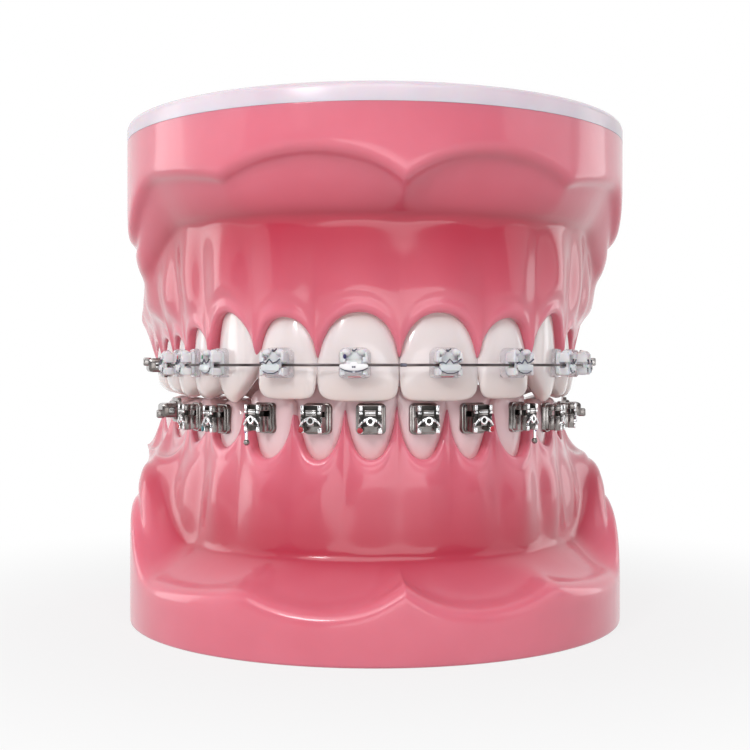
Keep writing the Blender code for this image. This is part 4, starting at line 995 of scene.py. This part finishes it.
STEEL_DOTS = {
    ("left", 0): (-1, "red"), ("left", 1): (-1, "red"), ("right", 1): (1, "red"),
    ("left", 2): (0, "blue"), ("right", 2): (0, "blue"), ("left", 3): (-1, "teal"),
    ("left", 4): (-1, "rose"),
}
for side, side_name in SIDES:
    for index, tooth_name in enumerate(BRACKETED_TEETH):
        place = f"lower_{side_name}_{tooth_name}"
        height = LOWER_SLOT_HEIGHTS[index]
        dot_side, colour = STEEL_DOTS.get((side_name, index), (0, "red"))
        paints = [cast_steel, polished_steel, recess_painted_shade, DOT_PAINTS[colour]]
        body = steel_bracket(side if tooth_name == "canine" else 0, dot_side)
        stand_on_tooth(body, "lower", index, 0.0, height, side)
        finish_piece(body, place + "_steel_bracket", "lower_jaw", paints, [place + "_bracket"],
                     smooth_angle=40.0)
        door = steel_door()
        stand_on_tooth(door, "lower", index, 0.0, height, side)
        finish_piece(door, place + "_steel_door", place + "_slide", paints[:3],
                     [place + "_slide"], smooth_angle=40.0)

# Molar tubes
# Each first molar carries a cast steel tube that takes the end of a wire: a closed sleeve on a pad,
# bonded to the tooth, with a stub towards the gum for an elastic band.
FIRST_MOLAR = 5
TUBE_HALF = 2.0
WIRE_OUT = 1.2
# The sleeve's outline from end to end and back through the bore: place along it and half its height
SLEEVE_PROFILE = (
    (-TUBE_HALF, 0.3), (-TUBE_HALF, 0.62), (-TUBE_HALF + 0.2, 0.84), (TUBE_HALF - 0.2, 0.84),
    (TUBE_HALF, 0.62), (TUBE_HALF, 0.3),
)


def molar_tube(way, side):
    """The tube, with its back at y = 0 and its bore's middle at z = 0."""
    bm = bmesh.new()
    add_plate(bm, rounded_outline(TUBE_HALF + 0.28, -1.48, 1.48, 0.4, 0.4), 0.06, 0.5, 0.1, 2)
    add_block(bm, (-TUBE_HALF + 0.2, -0.9, -1.1), (TUBE_HALF - 0.2, -0.4, 1.1), 0.2, 3)
    before = set(bm.faces)
    rings = []
    for across, half in SLEEVE_PROFILE:
        corner = half * 0.45
        outline = rounded_outline(half, -half, half, corner, corner, 3)
        points = [bm.verts.new((across, -WIRE_OUT - depth * (1.3 if half > 0.5 else 1.0), up))
                  for depth, up in outline]
        loop = [bm.edges.new((first, second))
                for first, second in zip(points, points[1:] + points[:1])]
        rings.append(loop)
    join_rings(bm, rings, closed=True)
    paint_new(bm, before, 0)
    back = -side * 1.1
    add_block(bm, (back - 0.34, -2.9, way * 0.42 - 0.5), (back + 0.34, -1.9, way * 0.42 + 0.5),
              0.2, 3)
    return bm


for jaw_name, height in (("upper", UPPER_SLOT_HEIGHT), ("lower", LOWER_SLOT_HEIGHTS[-1])):
    for side, side_name in SIDES:
        place = f"{jaw_name}_{side_name}_molar_tube"
        tube = molar_tube(JAWS[jaw_name]["way"], side)
        stand_on_tooth(tube, jaw_name, FIRST_MOLAR, 0.0, height, side)
        finish_piece(tube, place + "_sleeve", jaw_name + "_jaw", [cast_steel], [place],
                     smooth_angle=40.0)

# Archwire
# One drawn steel wire runs through the upper slots and tubes. It is straight in each slot and bows
# between them, and a short dark sleeve ahead of it marks its middle.
WIRE_RADIUS = 0.14
SLOT_REACH = 1.6
WIRE_IN_TUBE = 1.2
BOW_STEPS = 6
MARK_REACH = 0.3
MARK_WALL = 0.05


def wire_in_slot(index):
    """Where the wire enters and leaves a tooth's slot, and its heading there."""
    place, heading, _, _ = tooth_frame(JAWS["upper"], index)
    along = Vector((math.cos(heading), math.sin(heading)))
    outward = Vector((math.sin(heading), -math.cos(heading)))
    middle = place + outward * WIRE_OUT
    if index == FIRST_MOLAR:
        return middle - along * TUBE_HALF, middle + along * WIRE_IN_TUBE, along
    middle += along * UPPER_SHIFTS[index]
    return middle - along * SLOT_REACH, middle + along * SLOT_REACH, along


def bow(start, start_way, end, end_way):
    """A smooth curve between two slots."""
    reach = (end - start).length
    points = []
    for step in range(1, BOW_STEPS + 1):
        share = step / BOW_STEPS
        square, cube = share ** 2, share ** 3
        points.append(
            start * (2 * cube - 3 * square + 1) + start_way * reach * (cube - 2 * square + share)
            + end * (3 * square - 2 * cube) + end_way * reach * (cube - square)
        )
    return points


first, last, way = wire_in_slot(0)
mirrored_start = Vector((-first.x, first.y))
half_path = bow(mirrored_start, Vector((way.x, -way.y)), first, way)[BOW_STEPS // 2:] + [last]
for index in range(1, FIRST_MOLAR + 1):
    entry, leaving, next_way = wire_in_slot(index)
    half_path += bow(last, way, entry, next_way) + [leaving]
    last, way = leaving, next_way
half_path = [spot for spot in half_path if spot.x > 0.01]
path = [Vector((-spot.x, spot.y, UPPER_SLOT_HEIGHT)) for spot in reversed(half_path)]
path += [Vector((spot.x, spot.y, UPPER_SLOT_HEIGHT)) for spot in half_path]
wire_steel = new_finish("wire_steel", (0.1, 0.085, 0.085), 0.35, Metallic=1.0)
cloud_colour(wire_steel, (0.06, 0.05, 0.05), (0.15, 0.13, 0.13), 400.0)
fine_bumps(wire_steel, 2500.0, 0.01)
bm = bmesh.new()
add_rod(bm, path, WIRE_RADIUS, 12)
mark_front = bow(mirrored_start, Vector((way.x, -way.y)), first, way)[BOW_STEPS // 2 - 1].y
mark = [Vector((across, mark_front, UPPER_SLOT_HEIGHT)) for across in (-MARK_REACH, MARK_REACH)]
add_rod(bm, mark, WIRE_RADIUS + MARK_WALL, 12, paint=1)
bmesh.ops.recalc_face_normals(bm, faces=bm.faces)
finish_piece(bm, "round_archwire", "upper_jaw", [wire_steel, spring_steel], ["archwire"],
             smooth_angle=60.0)

# Hinge
# Two leaves, cut and bent from brushed steel strip, are screwed to the flat backs of the bases. The
# knuckles of their straps turn on one headed pin.
brushed = new_finish("brushed_hinge_steel", (0.62, 0.62, 0.64), 0.32, Metallic=1.0)
cloud_colour(brushed, (0.52, 0.52, 0.54), (0.68, 0.68, 0.7), 160.0)
fine_bumps(brushed, 800.0, 0.04)
for name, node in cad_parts.items():
    if "hinge" in name:
        node.data.materials.clear()
        node.data.materials.append(brushed)

# Light and background
# The model stands on white paper before a white field, which shows in its gloss at grazing angles,
# while the room in front of it is darker. Broad oval lamps stand in front, above and at both sides.
ROOM_SHADE = (0.3, 0.3, 0.32)
WHITE = (1.0, 1.0, 1.0)
ROOM_STRENGTH = 0.45


def looked_at(tree):
    """1 for what is seen, straight, mirrored or through a clear piece, and 0 for what only lights."""
    rays = tree.nodes.new("ShaderNodeLightPath")
    seen = rays.outputs["Is Camera Ray"]
    for kind in ("Is Glossy Ray", "Is Transmission Ray"):
        either = tree.nodes.new("ShaderNodeMath")
        either.operation = "MAXIMUM"
        tree.links.new(seen, either.inputs[0])
        tree.links.new(rays.outputs[kind], either.inputs[1])
        seen = either.outputs["Value"]
    return seen


world = bpy.data.worlds.new("studio")
bpy.context.scene.world = world
world.use_nodes = True
studio = world.node_tree
direction = studio.nodes.new("ShaderNodeTexCoord")
parts = studio.nodes.new("ShaderNodeSeparateXYZ")
studio.links.new(direction.outputs["Generated"], parts.inputs["Vector"])
behind = remap(studio, parts.outputs["Y"], -0.15, 0.35, soft=True)
room = mix_shades(studio, behind, ROOM_SHADE, WHITE)
view_rays = studio.nodes.new("ShaderNodeLightPath")
plain = mix_shades(studio, view_rays.outputs["Is Camera Ray"], room, WHITE)
studio.links.new(plain, studio.nodes["Background"].inputs["Color"])
strength = remap(studio, looked_at(studio), 0.0, 1.0, ROOM_STRENGTH, 1.0)
studio.links.new(strength, studio.nodes["Background"].inputs["Strength"])


def soft_box(name, place, target, width, height, power):
    """A flat oval lamp in millimetres that faces its target."""
    light = bpy.data.lights.new(name, "AREA")
    light.shape = "ELLIPSE"
    light.size = width * MM
    light.size_y = height * MM
    light.energy = power
    lamp = bpy.data.objects.new(name, light)
    bpy.context.scene.collection.objects.link(lamp)
    lamp.location = Vector(place) * MM
    lamp.rotation_euler = (Vector(target) - Vector(place)).to_track_quat("-Z", "Y").to_euler()


soft_box("front", (-60, -240, 250), (0, 0, 32), 420, 240, 0.56)
soft_box("low front", (0, -320, 10), (0, 0, 30), 300, 140, 0.24)
soft_box("left", (-300, -60, 110), (-10, 0, 32), 200, 240, 0.1)
soft_box("right", (290, -120, 120), (0, 0, 32), 220, 240, 0.12)
soft_box("key", (-165, -240, 175), (0, 0, 36), 70, 60, 0.2)
soft_box("left strip", (-230, 60, 40), (-20, 0, 30), 100, 220, 0.11)
soft_box("right strip", (230, 50, 40), (20, 0, 30), 100, 220, 0.08)

floor_mesh = bpy.data.meshes.new("floor")
bm = bmesh.new()
bmesh.ops.create_grid(bm, x_segments=1, y_segments=1, size=1.5)
bm.to_mesh(floor_mesh)
bm.free()
floor = bpy.data.objects.new("floor", floor_mesh)
bpy.context.scene.collection.objects.link(floor)
paper = new_finish("white_paper", (0.55, 0.55, 0.55), 0.9)
sheet = paper.node_tree
spot = sheet.nodes.new("ShaderNodeTexCoord")
from_middle = sheet.nodes.new("ShaderNodeVectorMath")
from_middle.operation = "LENGTH"
sheet.links.new(spot.outputs["Object"], from_middle.inputs[0])
fade = remap(sheet, from_middle.outputs["Value"], 0.03, 0.09, 0.82, 1.0, soft=True)
seen = sheet.nodes.new("ShaderNodeMath")
seen.operation = "MULTIPLY"
sheet.links.new(looked_at(sheet), seen.inputs[0])
sheet.links.new(fade, seen.inputs[1])
glow = sheet.nodes.new("ShaderNodeEmission")
blend = sheet.nodes.new("ShaderNodeMixShader")
sheet.links.new(seen.outputs["Value"], blend.inputs["Fac"])
sheet.links.new(sheet.nodes["Principled BSDF"].outputs["BSDF"], blend.inputs[1])
sheet.links.new(glow.outputs["Emission"], blend.inputs[2])
sheet.links.new(blend.outputs["Shader"], sheet.nodes["Material Output"].inputs["Surface"])
floor_mesh.materials.append(paper)
